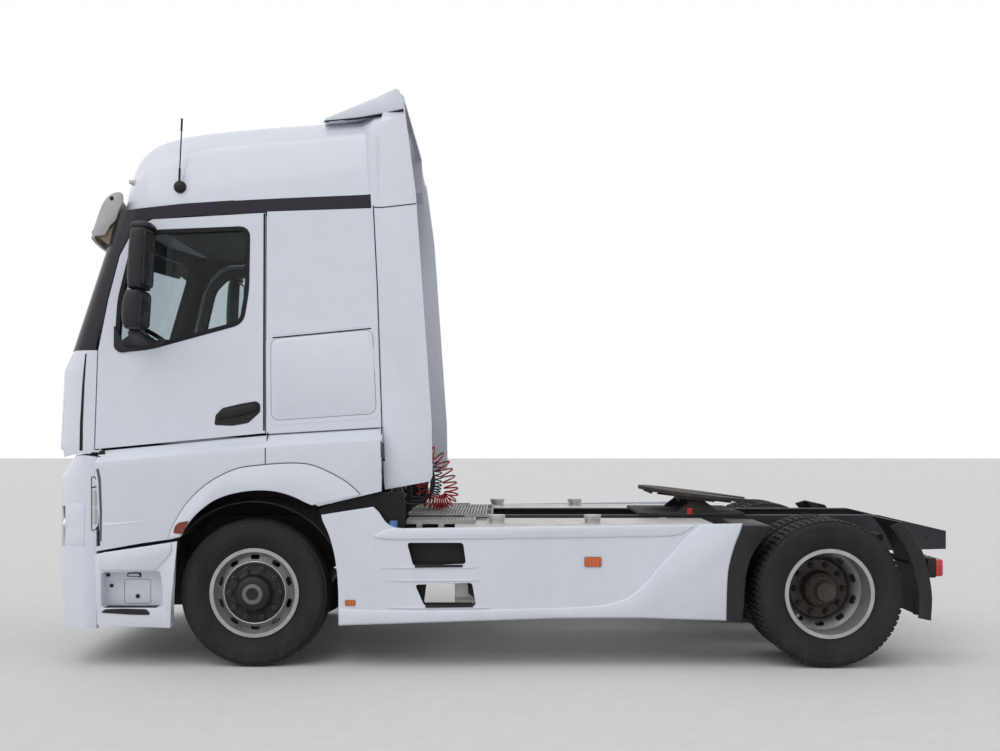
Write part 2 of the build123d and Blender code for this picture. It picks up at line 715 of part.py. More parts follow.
with BuildPart() as knuckle:
    for z in (beam_top + fork_gap, fork_low):
        with BuildSketch(plan_plane(z)):
            with Locations((0, -kingpin_y)):
                Circle(48)
            Polygon((-45, -kingpin_y), (45, -kingpin_y), (45, -stub_root_y), (-45, -stub_root_y),
                    align=None)
        extrude(amount=fork_plate)
    add(near_box(-45, 45, stub_root_y + 5, stub_root_y - 25, fork_low,
                 beam_top + fork_gap + fork_plate))
    add(upright(0, -kingpin_y, kingpin_radius, fork_low, beam_top + fork_gap + fork_plate))
    add(drum(0, axle_z, stub_radius, stub_tip_y, stub_root_y))
    add(near_box(0, steer_arm, kingpin_y + 25, kingpin_y - 25, fork_low, fork_low + fork_plate))
    add(upright(steer_arm, -kingpin_y, 32, fork_low, fork_low + fork_plate))
save_pair(knuckle, "knuckle")
rod_z = fork_low - 25
with BuildPart() as track_rod:
    with BuildSketch(Plane(origin=(front_axle_x + steer_arm, -kingpin_y, rod_z),
                           z_dir=(0, 1, 0))):
        Circle(20)
    extrude(amount=2 * kingpin_y)
    for y in (-kingpin_y, kingpin_y):
        add(upright(steer_arm, y, 30, rod_z - 20, fork_low - seat_gap))
save(track_rod, "track_rod")

# Rear axle with its air springs
bellows_reach = 430
with BuildPart() as rear_axle:
    add(drum(wheelbase, axle_z, 62, rear_outer_y + 45, -rear_outer_y - 45))
    add(drum(wheelbase, axle_z, 225, 110, -110))
    for side in (-1, 1):
        with BuildSketch(side_plane(-side * 110)):
            with Locations((wheelbase, axle_z)):
                Circle(190)
        with BuildSketch(side_plane(-side * 300)):
            with Locations((wheelbase, axle_z)):
                Circle(80)
        loft()
        y = side * 375
        add(box_between(wheelbase - bellows_reach - 60, wheelbase + bellows_reach + 60, y - 35,
                        y + 35, axle_z + 40, axle_z + 85))
        for x in (-bellows_reach, bellows_reach):
            add(upright(wheelbase + x, y, 110, axle_z + 85, rail_low_z))
save(rear_axle, "rear_axle")

# Fuel tanks behind the skirts, with caps and straps
tank_front_x = 1345
tank_rear_x = wheelbase - 750
tank_outer = lower_half_width - 115
tank_inner = 490
cap_x = 2287
with BuildPart() as tank:
    with BuildSketch(cross_plane(tank_front_x)) as face:
        Polygon((-tank_outer, 400), (-tank_inner, 400), (-tank_inner, 955), (-tank_outer, 955),
                align=None)
        fillet(face.vertices(), 70)
    extrude(amount=tank_rear_x - tank_front_x)
    for x in (tank_front_x + 255, tank_rear_x - 300):
        add(near_box(x, x + 60, tank_inner + 10, rail_outer_y, 730, 890))
        with BuildSketch(cross_plane(x)) as face:
            Polygon((-tank_outer - 4, 396), (-tank_inner + 4, 396), (-tank_inner + 4, 959),
                    (-tank_outer - 4, 959), align=None)
            fillet(face.vertices(), 74)
        extrude(amount=50)
    for x in (cap_x, cap_x - 660):
        add(upright(x, -tank_outer + 175, 52, 950, 1000))
        add(upright(x, -tank_outer + 175, 60, 980, 1006))
save_pair(tank, "tank")

# Side skirts with two boot steps, a raised border and the front guard of the rear wheels
skirt_wall = 22
skirt_recess = 7
skirt_rear_x = wheelbase - 595
upper_step = ((1033, 841), (1405, 841), (1424, 701), (1073, 688))
lower_step = ((1086, 562), (1464, 575), (1491, 423), (1146, 423))
step_depth = 115
with BuildPart() as side_skirt:
    with BuildSketch(side_plane(-skirt_y + skirt_wall)):
        with BuildLine():
            Polyline((794, 1060), (900, 1000), (953, 986), (2048, 977), (skirt_rear_x, 967),
                     (skirt_rear_x - 15, 927), (skirt_rear_x - 65, 661), (skirt_rear_x - 85, 316),
                     (569, 290), (555, 529))
            ThreePointArc((555, 529), (548, 780), (520, 940))
            Line((520, 940), (794, 1060))
        make_face()
    extrude(amount=skirt_wall)
    with BuildSketch(side_plane(-skirt_y + skirt_recess)):
        with BuildLine():
            Polyline((600, 930), (930, 930), (2048, 925), (skirt_rear_x - 290, 920))
            ThreePointArc((skirt_rear_x - 290, 920), (skirt_rear_x - 570, 620),
                          (skirt_rear_x - 1050, 440))
            Polyline((skirt_rear_x - 1050, 440), (2048, 425), (987, 411), (610, 425), (600, 930))
        make_face()
    extrude(amount=skirt_recess, mode=Mode.SUBTRACT)
    for hole in (upper_step, lower_step):
        add(side_prism(hole, skirt_y - skirt_recess - 2, skirt_y - step_depth, grow=5))
        add(side_prism(hole, skirt_y + 1, skirt_y - step_depth + 5), mode=Mode.SUBTRACT)
    for x in (tank_front_x + 355, tank_rear_x - 200):
        add(near_box(x, x + 50, skirt_y - skirt_wall, tank_outer, 600, 650))
    add(side_prism([(skirt_rear_x - 15, 952), (wheelbase - 457, 952), (wheelbase - 550, 659),
                    (wheelbase - 565, 459), (wheelbase - 564, 326), (skirt_rear_x - 95, 322),
                    (skirt_rear_x - 75, 459)], guard_outer, guard_inner))
    add(near_box(wheelbase - 580, wheelbase - 530, guard_inner + 60, rail_outer_y, 800, 840))
save_pair(side_skirt, "side_skirt")

# Step boxes between the bumper and the front wheels
wheel_sweep = 620
step_outline = ((fender_front_x, 765), (-529, 850), (-536, 461), (-542, 275), (-1027, 295))
step_recess = ((-1001, 647), (-609, 654), (-589, 527), (-589, 408), (-1001, 408))
with BuildPart() as step_box:
    add(side_prism(step_outline, lower_half_width, lower_half_width - 340))
    add(side_prism(step_recess, lower_half_width + 1, lower_half_width - 200, 25),
        mode=Mode.SUBTRACT)
    add(upright(0, -kingpin_y, wheel_sweep, 200, 1000), mode=Mode.SUBTRACT)
    add(near_box(-980, -920, lower_half_width - 330, rail_outer_y, 720, 760))
save_pair(step_box, "step_box")

# Bumper: height, front at the middle, front at the sides, corner radius
bumper_sections = (
    (262, -1400, -1290, 220),
    (600, -1434, -1322, 230),
    (1110, -front_overhang, -1312, 230),
    (1276, -front_overhang, -1302, 220),
    (1420, -1400, -1185, 110),
)
bumper_rear_x = fender_front_x - panel_gap
bumper_wall = 45


def bumper_form(inset):
    """The bumper's outer form drawn in by inset at the front and sides."""
    half = bumper_half_width - inset
    rear = bumper_rear_x + inset
    with BuildPart() as form:
        for z, front, edge, corner in bumper_sections:
            front, edge = front + inset, edge + inset
            with BuildSketch(plan_plane(z)) as outline:
                with BuildLine():
                    Polyline((edge, half), (rear, half), (rear, -half), (edge, -half))
                    ThreePointArc((edge, -half), (front, 0), (edge, half))
                make_face()
                fillet(outline.vertices().group_by(Axis.X)[0], corner - inset)
        loft(ruled=True)
    return form.part


def front_pair(points, amount=460):
    """A front-view outline on the driver's side and its mirror image, extruded rearwards."""
    with BuildPart() as pair:
        both_sides(front_prism([(-y, z) for y, z in points], -1600, amount - 1600))
    return pair.part


lamp_outline = (
    (bumper_half_width - 400, 760), (bumper_half_width - 290, 930),
    (bumper_half_width - 180, 1060), (bumper_half_width + 10, 1090),
    (bumper_half_width + 10, 850), (bumper_half_width - 190, 745),
    (bumper_half_width - 340, 735),
)
fog_outline = (
    (bumper_half_width - 370, 600), (bumper_half_width - 180, 616),
    (bumper_half_width - 100, 390), (bumper_half_width - 390, 400),
)
intake_outline = ((-610, 708), (610, 708), (715, 403), (-715, 403))
intake_bars = 4
bumper_outer = bumper_form(0)
bumper_inner = bumper_form(bumper_wall)
lamp_opening = front_pair(lamp_outline)
intake_opening = front_prism(intake_outline, -1600, -1200, 40)
with BuildPart() as bumper:
    add(bumper_outer)
    add(bumper_inner, mode=Mode.SUBTRACT)
    with BuildPart(mode=Mode.PRIVATE) as top_cut:
        add(box_between(-1600, -1000, -reach, reach, 1150, 1500))
        add(drum(tilt_x, tilt_z, tilt_sweep_front - 10, flap_half_width - 3, 3 - flap_half_width),
            mode=Mode.SUBTRACT)
        add(drum(tilt_x, tilt_z, tilt_sweep_corner - 12, reach, -reach), mode=Mode.SUBTRACT)
    add(top_cut.part, mode=Mode.SUBTRACT)
    add(lamp_opening, mode=Mode.SUBTRACT)
    add(intake_opening, mode=Mode.SUBTRACT)
    add(grille_opening.part, mode=Mode.SUBTRACT)
    with BuildPart(mode=Mode.PRIVATE) as pockets:
        add(front_pair(fog_outline))
        add(bumper_form(30), mode=Mode.SUBTRACT)
    add(pockets.part, mode=Mode.SUBTRACT)
    with BuildPart(mode=Mode.PRIVATE) as irons:
        both_sides(near_box(-1250, rail_front_x, 414, 345, 720, 930))
        add(box_between(-1310, -1240, -reach, reach, 720, 800))
        add(bumper_inner, mode=Mode.INTERSECT)
    add(irons.part)
save(bumper, "bumper")
for side, name in ((-1, "headlamp_left"), (1, "headlamp_right")):
    with BuildPart() as headlamp:
        add(bumper_form(3))
        add(bumper_form(40), mode=Mode.SUBTRACT)
        add(lamp_opening, mode=Mode.INTERSECT)
        add(box_between(-1600, -1000, min(0, side * reach), max(0, side * reach), 500, 1300),
            mode=Mode.INTERSECT)
    save(headlamp, name)
grille = louvres(bumper_form(8), bumper_form(34), 800, 1420)
with BuildPart() as grille_lower:
    add(grille.part)
    add(top_cut.part, mode=Mode.SUBTRACT)
    with BuildPart(mode=Mode.PRIVATE) as bars:
        add(bumper_form(10))
        add(bumper_form(30), mode=Mode.SUBTRACT)
        add(intake_opening, mode=Mode.INTERSECT)
        for row in range(intake_bars):
            z = 432 + row * 66
            low, high = (660 - 0.344 * (h - 432) for h in (z, z + 46))
            add(front_prism([(-low, z), (low, z), (high, z + 46), (-high, z + 46)], -1600, -1200),
                mode=Mode.SUBTRACT)
    add(bars.part)
save(grille_lower, "grille_lower")

# Rear wheel guards and the tail lamp bar
guard_gap = 75
with BuildPart() as rear_guard:
    with BuildSketch(side_plane(-guard_inner)):
        low, high = -8, 58
        inner, outer = tyre_radius + guard_gap, tyre_radius + guard_gap + 18
        ends = [[(wheelbase + r * cos(radians(a)), axle_z + r * sin(radians(a)))
                 for r in (inner, outer)] for a in (low, high)]
        with BuildLine():
            CenterArc((wheelbase, axle_z), inner, low, high - low)
            CenterArc((wheelbase, axle_z), outer, low, high - low)
            Line(*ends[0])
            Line(*ends[1])
        make_face()
        Polygon((wheelbase + 566, 425), (wheelbase + 585, 425), (wheelbase + 680, 320),
                (wheelbase + 660, 313), align=None)
    extrude(amount=guard_outer - guard_inner)
    add(near_box(wheelbase + 450, wheelbase + 500, guard_inner + 60, rail_outer_y, 810, 850))
save_pair(rear_guard, "rear_guard")
with BuildPart() as tail_lamps:
    add(box_between(wheelbase + 680, wheelbase + 740, 50 - lamp_bar_y, lamp_bar_y - 50, 640, 690))
    both_sides(side_prism([(wheelbase + 650, 596), (wheelbase + 650, 735), (wheelbase + 736, 738),
                           (wheelbase + 783, 711), (wheelbase + 776, 616), (wheelbase + 736, 596)],
                          lamp_bar_y, lamp_bar_y - 360))
    both_sides(near_box(wheelbase + 680, wheelbase + 740, rail_outer_y, rail_outer_y - 75, 690, 707))
save(tail_lamps, "tail_lamps")

# Catwalk plates and the stand for the hoses
with BuildPart() as catwalk:
    add(box_between(900, 1400, -720, 720, rail_top_z, rail_top_z + 20))
    both_sides(near_box(960, 1000, 420, 380, rail_top_z + 20, 1560))
    add(box_between(960, 1000, -420, 420, 1520, 1560))
    add(box_between(990, 1000, -340, 120, 1250, 1520))
save(catwalk, "catwalk")

# Fifth wheel on its mounting plate, resting with its ramp down at the rear
coupling_x = wheelbase - 735
pivot_z = 1060
coupling_tilt = 6.85
coupling_top = 59
kingpin_bore = 25.6
plate_half_width = 450
plate_top_thickness = 25
with BuildPart() as fifth_wheel_base:
    add(box_between(coupling_x - 439, coupling_x + 330, -430, 430, rail_top_z, rail_top_z + 20))
    both_sides(side_prism([(coupling_x - 155, 985), (coupling_x + 155, 985),
                           (coupling_x + 30, pivot_z + 22), (coupling_x - 30, pivot_z + 22)],
                          370, 332))
    both_sides(drum(coupling_x, pivot_z, 16, 340, 262))
save(fifth_wheel_base, "fifth_wheel_base")
lean = radians(coupling_tilt)
coupling_plane = Plane(origin=(front_axle_x + coupling_x, 0, pivot_z),
                       x_dir=(cos(lean), 0, -sin(lean)), z_dir=(sin(lean), 0, cos(lean)))
with BuildPart() as fifth_wheel_plate:
    with BuildSketch(coupling_plane.offset(coupling_top - plate_top_thickness)):
        with BuildLine():
            Polyline((-150, -plate_half_width), (150, -plate_half_width), (458, -240),
                     (458, -180), (70, -45), (70, 45), (458, 180), (458, 240),
                     (150, plate_half_width), (-150, plate_half_width))
            ThreePointArc((-150, plate_half_width), (-405, 0), (-150, -plate_half_width))
        make_face()
        Circle(kingpin_bore, mode=Mode.SUBTRACT)
    extrude(amount=plate_top_thickness)
    with BuildSketch(coupling_plane.offset(coupling_top - 85)):
        Rectangle(180, 130)
        with Locations((0, -294), (0, 294)):
            Rectangle(120, 60)
    extrude(amount=60)
    with BuildSketch(coupling_plane.offset(coupling_top - 45)):
        with Locations((-330, 0)):
            Rectangle(16, 420)
        with Locations((-40, -420), (-40, 420)):
            Rectangle(300, 16)
        with Locations((0, -180), (0, 180)):
            Rectangle(560, 14)
    extrude(amount=20)
    add(drum(coupling_x, pivot_z, 16 + pin_play, 330, -330), mode=Mode.SUBTRACT)
    with BuildSketch(coupling_plane.offset(coupling_top - 85)):
        Rectangle(180, 130)
    extrude(amount=60)
    with BuildSketch(coupling_plane.offset(coupling_top + 1)):
        Circle(kingpin_bore)
    extrude(amount=-90, mode=Mode.SUBTRACT)
save(fifth_wheel_plate, "fifth_wheel_plate")

# Curly air line and cable: station, y, height
air_points = (
    (1000, -250, 1420), (1235, -250, 1420), (1235, -250, 1055), (1075, -250, 1055),
    (1075, -250, 1290), (1000, -250, 1290),
)
cable_points = (
    (1000, -60, 1400), (1180, -60, 1400), (1180, -60, 1080), (1070, -60, 1080),
    (1070, -60, 1290), (1000, -60, 1290),
)
air_coil_diameter = 92
cable_coil_diameter = 54


def bend_radii(points):
    """Widest radius that each bend takes with its neighbours left room."""
    corners = [Vector(*p) for p in points]
    radii = []
    for before, here, after in zip(corners, corners[1:], corners[2:]):
        first, second = here - before, after - here
        turn = radians(first.get_angle(second))
        radii.append(0.45 * min(first.length, second.length) / tan(turn / 2))
    return radii


def cord(points, diameter):
    """A round cord along straight runs with bends."""
    world = [(front_axle_x + x, y, z) for x, y, z in points]
    with BuildPart() as tube:
        with BuildLine() as path:
            FilletPolyline(*world, radius=bend_radii(world))
        with BuildSketch(Plane(origin=world[0], z_dir=path.line % 0)):
            Circle(diameter / 2)
        sweep()
    return tube


save(cord(air_points, air_coil_diameter), "air_coil")
save(cord(cable_points, cable_coil_diameter), "cable_coil")


def turned(x, y_centre, points):
    """A ring turned about a wheel's axis from points of radius and distance outwards."""
    with BuildPart() as ring:
        with BuildSketch(Plane(origin=(front_axle_x + x, -y_centre, axle_z), x_dir=(0, 0, 1),
                               z_dir=(1, 0, 0))):
            Polygon(*points, align=None)
        revolve(axis=Axis((front_axle_x + x, 0, axle_z), (0, 1, 0)))
    return ring.part


# Wheels
tyre_points = (
    (bead_radius, 112), (304, 114), (400, tyre_width / 2), (489, tread_width / 2),
    (tyre_radius, 60), (tyre_radius, -60), (489, -tread_width / 2), (400, -tyre_width / 2),
    (304, -114), (bead_radius, -112),
)
half_rim = rim_width / 2
rim_points = (
    (flange_radius, half_rim), (flange_radius, 117), (bead_radius, 116), (bead_radius, -116),
    (flange_radius, -117), (flange_radius, -half_rim), (bead_radius - rim_wall, -half_rim),
    (bead_radius - rim_wall, half_rim),
)
hand_hole_radius = 238
disc_points = (
    (274, 52), (274, 76), (215, 104), (115, 104), (115, 90), (205, 90), (262, 62),
)
hub_points = (
    (116, 90), (116, 104), (112, 165), (92, 185), (stub_radius + pin_play, 190),
    (stub_radius + pin_play, -80), (100, -80), (112, 0), (112, 90),
)


def hand_holes(x, y_centre, w0, w1):
    """The oval holes of a wheel disc, as one cutter between two distances outwards."""
    with BuildPart() as cutter:
        plane = Plane(origin=(front_axle_x + x, -y_centre - w0, axle_z), x_dir=(1, 0, 0),
                      z_dir=(0, -1, 0))
        with BuildSketch(plane):
            with PolarLocations(hand_hole_radius, stud_count, 18):
                SlotOverall(62, 30, rotation=90)
        extrude(amount=w1 - w0)
    return cutter.part


def studs(x, y_centre, w0, w1, radius):
    """The ring of wheel nuts between two distances outwards."""
    with BuildPart() as ring:
        plane = Plane(origin=(front_axle_x + x, -y_centre - w0, axle_z), x_dir=(1, 0, 0),
                      z_dir=(0, -1, 0))
        with BuildSketch(plane):
            with PolarLocations(stud_circle / 2, stud_count):
                RegularPolygon(radius, 6)
        extrude(amount=w1 - w0)
    return ring.part


with BuildPart() as tyre_front:
    add(turned(0, front_track / 2, tyre_points))
save_pair(tyre_front, "tyre_front")
with BuildPart() as rim_front:
    add(turned(0, front_track / 2, rim_points))
    add(turned(0, front_track / 2, disc_points))
    add(hand_holes(0, front_track / 2, 40, 120), mode=Mode.SUBTRACT)
    add(turned(0, front_track / 2, hub_points))
    add(studs(0, front_track / 2, 103, 132, 17))
save_pair(rim_front, "rim_front")
with BuildPart() as tyres_rear:
    for y in (rear_outer_y, rear_outer_y - twin_spacing):
        add(turned(wheelbase, y, tyre_points))
save_pair(tyres_rear, "tyres_rear")
middle = rear_outer_y - twin_spacing / 2
axle_radius = 62
with BuildPart() as rims_rear:
    for y in (rear_outer_y, rear_outer_y - twin_spacing):
        add(turned(wheelbase, y, rim_points))
    for side in (-1, 1):
        add(turned(wheelbase, middle, (
            (274, side * 88), (274, side * 66), (205, 0), (110, 0), (110, side * 14),
            (198, side * 14),
        )))
    add(hand_holes(wheelbase, middle, -100, 100), mode=Mode.SUBTRACT)
    add(turned(wheelbase, middle, (
        (axle_radius + pin_play, -150), (205, -150), (205, -20), (140, 0), (112, 30), (112, 120),
        (95, 135), (axle_radius + pin_play, 135))))
    add(studs(wheelbase, middle, 14, 44, 17))
save_pair(rims_rear, "rims_rear")
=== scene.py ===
"""Looks of a two-axle tractor unit with a high-roof sleeper cab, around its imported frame.

Metres, in the frame of the part: +X to the rear, +Z up, the driver's side at -Y. Stations along
the truck are measured from the front axle, and distances from the middle are positive outwards.
"""
from math import cos, pi, radians, sin

import bmesh
import bpy
from mathutils import Matrix, Vector
from mathutils.bvhtree import BVHTree


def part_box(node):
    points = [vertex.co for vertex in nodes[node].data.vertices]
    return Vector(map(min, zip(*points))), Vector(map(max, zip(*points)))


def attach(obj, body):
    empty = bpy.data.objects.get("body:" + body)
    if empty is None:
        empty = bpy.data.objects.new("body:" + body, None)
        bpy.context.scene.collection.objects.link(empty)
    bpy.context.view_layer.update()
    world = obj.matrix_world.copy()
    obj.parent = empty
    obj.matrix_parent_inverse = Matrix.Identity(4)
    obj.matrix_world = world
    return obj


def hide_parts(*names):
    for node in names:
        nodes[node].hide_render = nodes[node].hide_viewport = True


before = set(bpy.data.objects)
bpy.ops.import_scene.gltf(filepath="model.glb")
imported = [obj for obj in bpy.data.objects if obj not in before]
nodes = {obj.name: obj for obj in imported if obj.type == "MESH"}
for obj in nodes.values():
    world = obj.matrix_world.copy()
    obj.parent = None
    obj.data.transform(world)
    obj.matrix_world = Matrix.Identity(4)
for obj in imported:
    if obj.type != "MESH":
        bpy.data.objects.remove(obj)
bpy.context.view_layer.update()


def middle_of(node):
    """Centre of a node's box."""
    low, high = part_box(node)
    return (low + high) / 2


front_axle = middle_of("tyre_front_left")
rear_axle = middle_of("tyres_rear_left")
axle_z = front_axle.z
half_track = -front_axle.y
lower_half_width = -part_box("fender_left")[0].y
cab_half_width = lower_half_width - 0.090
skirt_y = lower_half_width + 0.015
belt_z = 2.112
lean_height = 1.118
lean_in = 0.018
rear_wheel_y = lower_half_width - 0.155
twin_spacing = 0.350
SIDES = {"left": -1, "right": 1}


def both_sides(*makers):
    """Runs makers for the left and for the right side."""
    for hand, side in SIDES.items():
        for make in makers:
            make(hand, side)


def at(x):
    """World X of a station."""
    return front_axle.x + x


def cab_side(z):
    """Distance of the cab's side from the middle at a height: it leans in above the belt."""
    return cab_half_width - lean_in * max(0.0, z - belt_z) / lean_height


# --- Materials ---

def new_group(name, inputs, outputs):
    """A shader node group with its named sockets, and its two end nodes."""
    tree = bpy.data.node_groups.new(name, "ShaderNodeTree")
    for label, kind, value in inputs:
        made = tree.interface.new_socket(name=label, in_out="INPUT", socket_type=kind)
        if value is not None:
            made.default_value = value
    for label, kind in outputs:
        tree.interface.new_socket(name=label, in_out="OUTPUT", socket_type=kind)
    return tree, tree.nodes.new("NodeGroupInput"), tree.nodes.new("NodeGroupOutput")


def give(tree, socket, value):
    """Sets a socket to a number or colour, or links an output to it."""
    if isinstance(value, (int, float, tuple)):
        socket.default_value = value
    else:
        tree.links.new(value, socket)


def noise(tree, vector, scale, detail=4.0, roughness=0.55):
    """A noise texture on a vector."""
    made = tree.nodes.new("ShaderNodeTexNoise")
    for label, value in (("Vector", vector), ("Scale", scale), ("Detail", detail),
                         ("Roughness", roughness)):
        give(tree, made.inputs[label], value)
    return made.outputs["Fac"]


def ramp(tree, value, low, high, out_low=0.0, out_high=1.0):
    """A clamped range."""
    made = tree.nodes.new("ShaderNodeMapRange")
    for label, given in (("Value", value), ("From Min", low), ("From Max", high),
            ("To Min", out_low), ("To Max", out_high)):
        give(tree, made.inputs[label], given)
    return made.outputs["Result"]


def maths(tree, operation, first, second=None):
    """One arithmetic step on values."""
    made = tree.nodes.new("ShaderNodeMath")
    made.operation = operation
    for socket, value in zip(made.inputs, (first, second)):
        if value is not None:
            give(tree, socket, value)
    return made.outputs["Value"]


def road_dust_group():
    """Dust and dried splashes: thicker towards the ground, broken up by noise."""
    tree, given, result = new_group("road_dust", [("Vector", "NodeSocketVector", None),
        ("Clean Height", "NodeSocketFloat", 1.2), ("Amount", "NodeSocketFloat", 0.5),
        ("Patch Size", "NodeSocketFloat", 6.0)], [("Mask", "NodeSocketFloat")])
    split = tree.nodes.new("ShaderNodeSeparateXYZ")
    tree.links.new(given.outputs["Vector"], split.inputs[0])
    share = maths(tree, "DIVIDE", split.outputs["Z"], given.outputs["Clean Height"])
    falling = ramp(tree, share, 0.0, 1.0, 1.0, 0.08)
    stretched = tree.nodes.new("ShaderNodeVectorMath")
    stretched.operation = "MULTIPLY"
    stretched.inputs[1].default_value = (1.0, 1.0, 0.35)
    tree.links.new(given.outputs["Vector"], stretched.inputs[0])
    patches = noise(tree, stretched.outputs["Vector"], given.outputs["Patch Size"], 6.0, 0.62)
    specks = noise(tree, given.outputs["Vector"], 90.0, 2.0)
    body = maths(tree, "MULTIPLY", ramp(tree, patches, 0.38, 0.72), falling)
    fine = maths(tree, "MULTIPLY", ramp(tree, specks, 0.55, 0.72, 0.0, 0.35), falling)
    total = maths(tree, "MULTIPLY", maths(tree, "ADD", body, fine), given.outputs["Amount"])
    tree.links.new(ramp(tree, total, 0.0, 1.0), result.inputs["Mask"])
    return tree


def surface_grain_group():
    """A moulded or cast surface: fine grain over soft unevenness, as a height."""
    tree, given, result = new_group("surface_grain", [("Vector", "NodeSocketVector", None),
        ("Grain Scale", "NodeSocketFloat", 400.0), ("Wave Scale", "NodeSocketFloat", 8.0),
        ("Wave Share", "NodeSocketFloat", 0.3)], [("Height", "NodeSocketFloat"),
        ("Mottle", "NodeSocketFloat")])
    fine = noise(tree, given.outputs["Vector"], given.outputs["Grain Scale"], 2.0)
    wave = noise(tree, given.outputs["Vector"], given.outputs["Wave Scale"], 3.0)
    soft = maths(tree, "MULTIPLY", wave, given.outputs["Wave Share"])
    tree.links.new(maths(tree, "ADD", fine, soft), result.inputs["Height"])
    tree.links.new(wave, result.inputs["Mottle"])
    return tree


ROAD_DUST = road_dust_group()
SURFACE_GRAIN = surface_grain_group()
DUST_COLOUR = (0.30, 0.26, 0.22, 1)
DUSTY_ROUGHNESS = 0.85
GRAIN_DEPTH = 0.0005


def new_material(name):
    """A material with its node tree, its shader and its object coordinates."""
    made = bpy.data.materials.new(name)
    made.use_nodes = True
    tree = made.node_tree
    place = tree.nodes.new("ShaderNodeTexCoord").outputs["Object"]
    return made, tree, tree.nodes["Principled BSDF"], place


def grouped(tree, group, values):
    """The outputs of a node group in a material, with its own values."""
    made = tree.nodes.new("ShaderNodeGroup")
    made.node_tree = group
    for label, value in values.items():
        give(tree, made.inputs[label], value)
    return made.outputs


def mixed(tree, factor, first, second):
    """A mix of two colours, each a plain colour or an output."""
    made = tree.nodes.new("ShaderNodeMix")
    made.data_type = "RGBA"
    for label, value in (("A", first), ("B", second), ("Factor", factor)):
        give(tree, made.inputs[label], value)
    return made.outputs["Result"]


def bumped(tree, height, strength, distance):
    """The normal of a surface raised by a height."""
    made = tree.nodes.new("ShaderNodeBump")
    for label, value in (("Height", height), ("Strength", strength), ("Distance", distance)):
        give(tree, made.inputs[label], value)
    return made.outputs["Normal"]


def feed(tree, shader, **values):
    """Gives a shader's sockets their values; an underscore stands for a space."""
    for label, value in values.items():
        give(tree, shader.inputs[label.replace("_", " ")], value)


def finish_of(name, colour, roughness, metallic=0.0, coat=0.0, grain=400.0, bump=0.05,
              mottle=0.08, dust=0.3, clean_height=1.2, patch=6.0, dust_colour=DUST_COLOUR,
              specular=0.5):
    """A material of one colour with mottling, grain and road dust."""
    made, tree, shader, place = new_material(name)
    grained = grouped(tree, SURFACE_GRAIN, {"Vector": place, "Grain Scale": grain})
    dusted = grouped(tree, ROAD_DUST, {"Vector": place, "Clean Height": clean_height,
        "Amount": dust, "Patch Size": patch})
    shade = mixed(tree, ramp(tree, grained["Mottle"], 0.35, 0.7), (*colour, 1),
        (*[c * (1 - mottle) for c in colour], 1))
    feed(tree, shader, Base_Color=mixed(tree, dusted["Mask"], shade, dust_colour),
         Roughness=ramp(tree, dusted["Mask"], 0.0, 1.0, roughness, DUSTY_ROUGHNESS),
         Normal=bumped(tree, grained["Height"], bump, GRAIN_DEPTH), Metallic=metallic,
         Specular_IOR_Level=specular, Coat_Weight=coat, Coat_Roughness=0.08)
    return made


def glass_of(name, colour):
    """Clear glass of one tint, very slightly smeared."""
    made, tree, shader, place = new_material(name)
    feed(tree, shader, Base_Color=(*colour, 1), Transmission_Weight=1.0, IOR=1.25,
         Roughness=ramp(tree, noise(tree, place, 5.0, 5.0), 0.4, 0.8, 0.0, 0.012))
    return made


def lamp_lens(name, colour):
    """A lamp lens of coloured plastic with fine upright optics."""
    made, tree, shader, place = new_material(name)
    split = tree.nodes.new("ShaderNodeSeparateXYZ")
    tree.links.new(place, split.inputs[0])
    across, along = [maths(tree, "SINE", maths(tree, "MULTIPLY", split.outputs[axis],
        260.0)) for axis in "YX"]
    height = maths(tree, "ADD", across, along)
    shade = mixed(tree, ramp(tree, height, -1.0, 1.5), (*colour, 1),
                  (*[c * 0.55 for c in colour], 1))
    feed(tree, shader, Base_Color=shade, Normal=bumped(tree, height, 0.25, 0.001),
         Roughness=0.12, Coat_Weight=0.6)
    return made


PAINT = finish_of("white_paint", (0.70, 0.73, 0.80), 0.34, coat=0.5, grain=260.0, bump=0.02,
    mottle=0.03, dust=0.22, clean_height=1.5, patch=3.0, dust_colour=(0.40, 0.38, 0.36, 1))
BAND_BLACK = finish_of("band_black", (0.012, 0.010, 0.020), 0.28, coat=0.10, mottle=0.2, dust=0.03,
    specular=0.3)
MOULDED_BLACK = finish_of("moulded_black", (0.012, 0.012, 0.015), 0.52, bump=0.25, mottle=0.25,
    dust=0.10, specular=0.3)
RUBBER_SEAL = finish_of("rubber_seal", (0.007, 0.007, 0.009), 0.6, bump=0.15, mottle=0.2, dust=0.05,
    specular=0.25)
TYRE_RUBBER = finish_of("tyre_rubber", (0.017, 0.0165, 0.0175), 0.78, grain=180.0, bump=0.35,
    mottle=0.3, dust=0.36, clean_height=1.6, patch=9.0, dust_colour=(0.060, 0.056, 0.055, 1),
    specular=0.3)


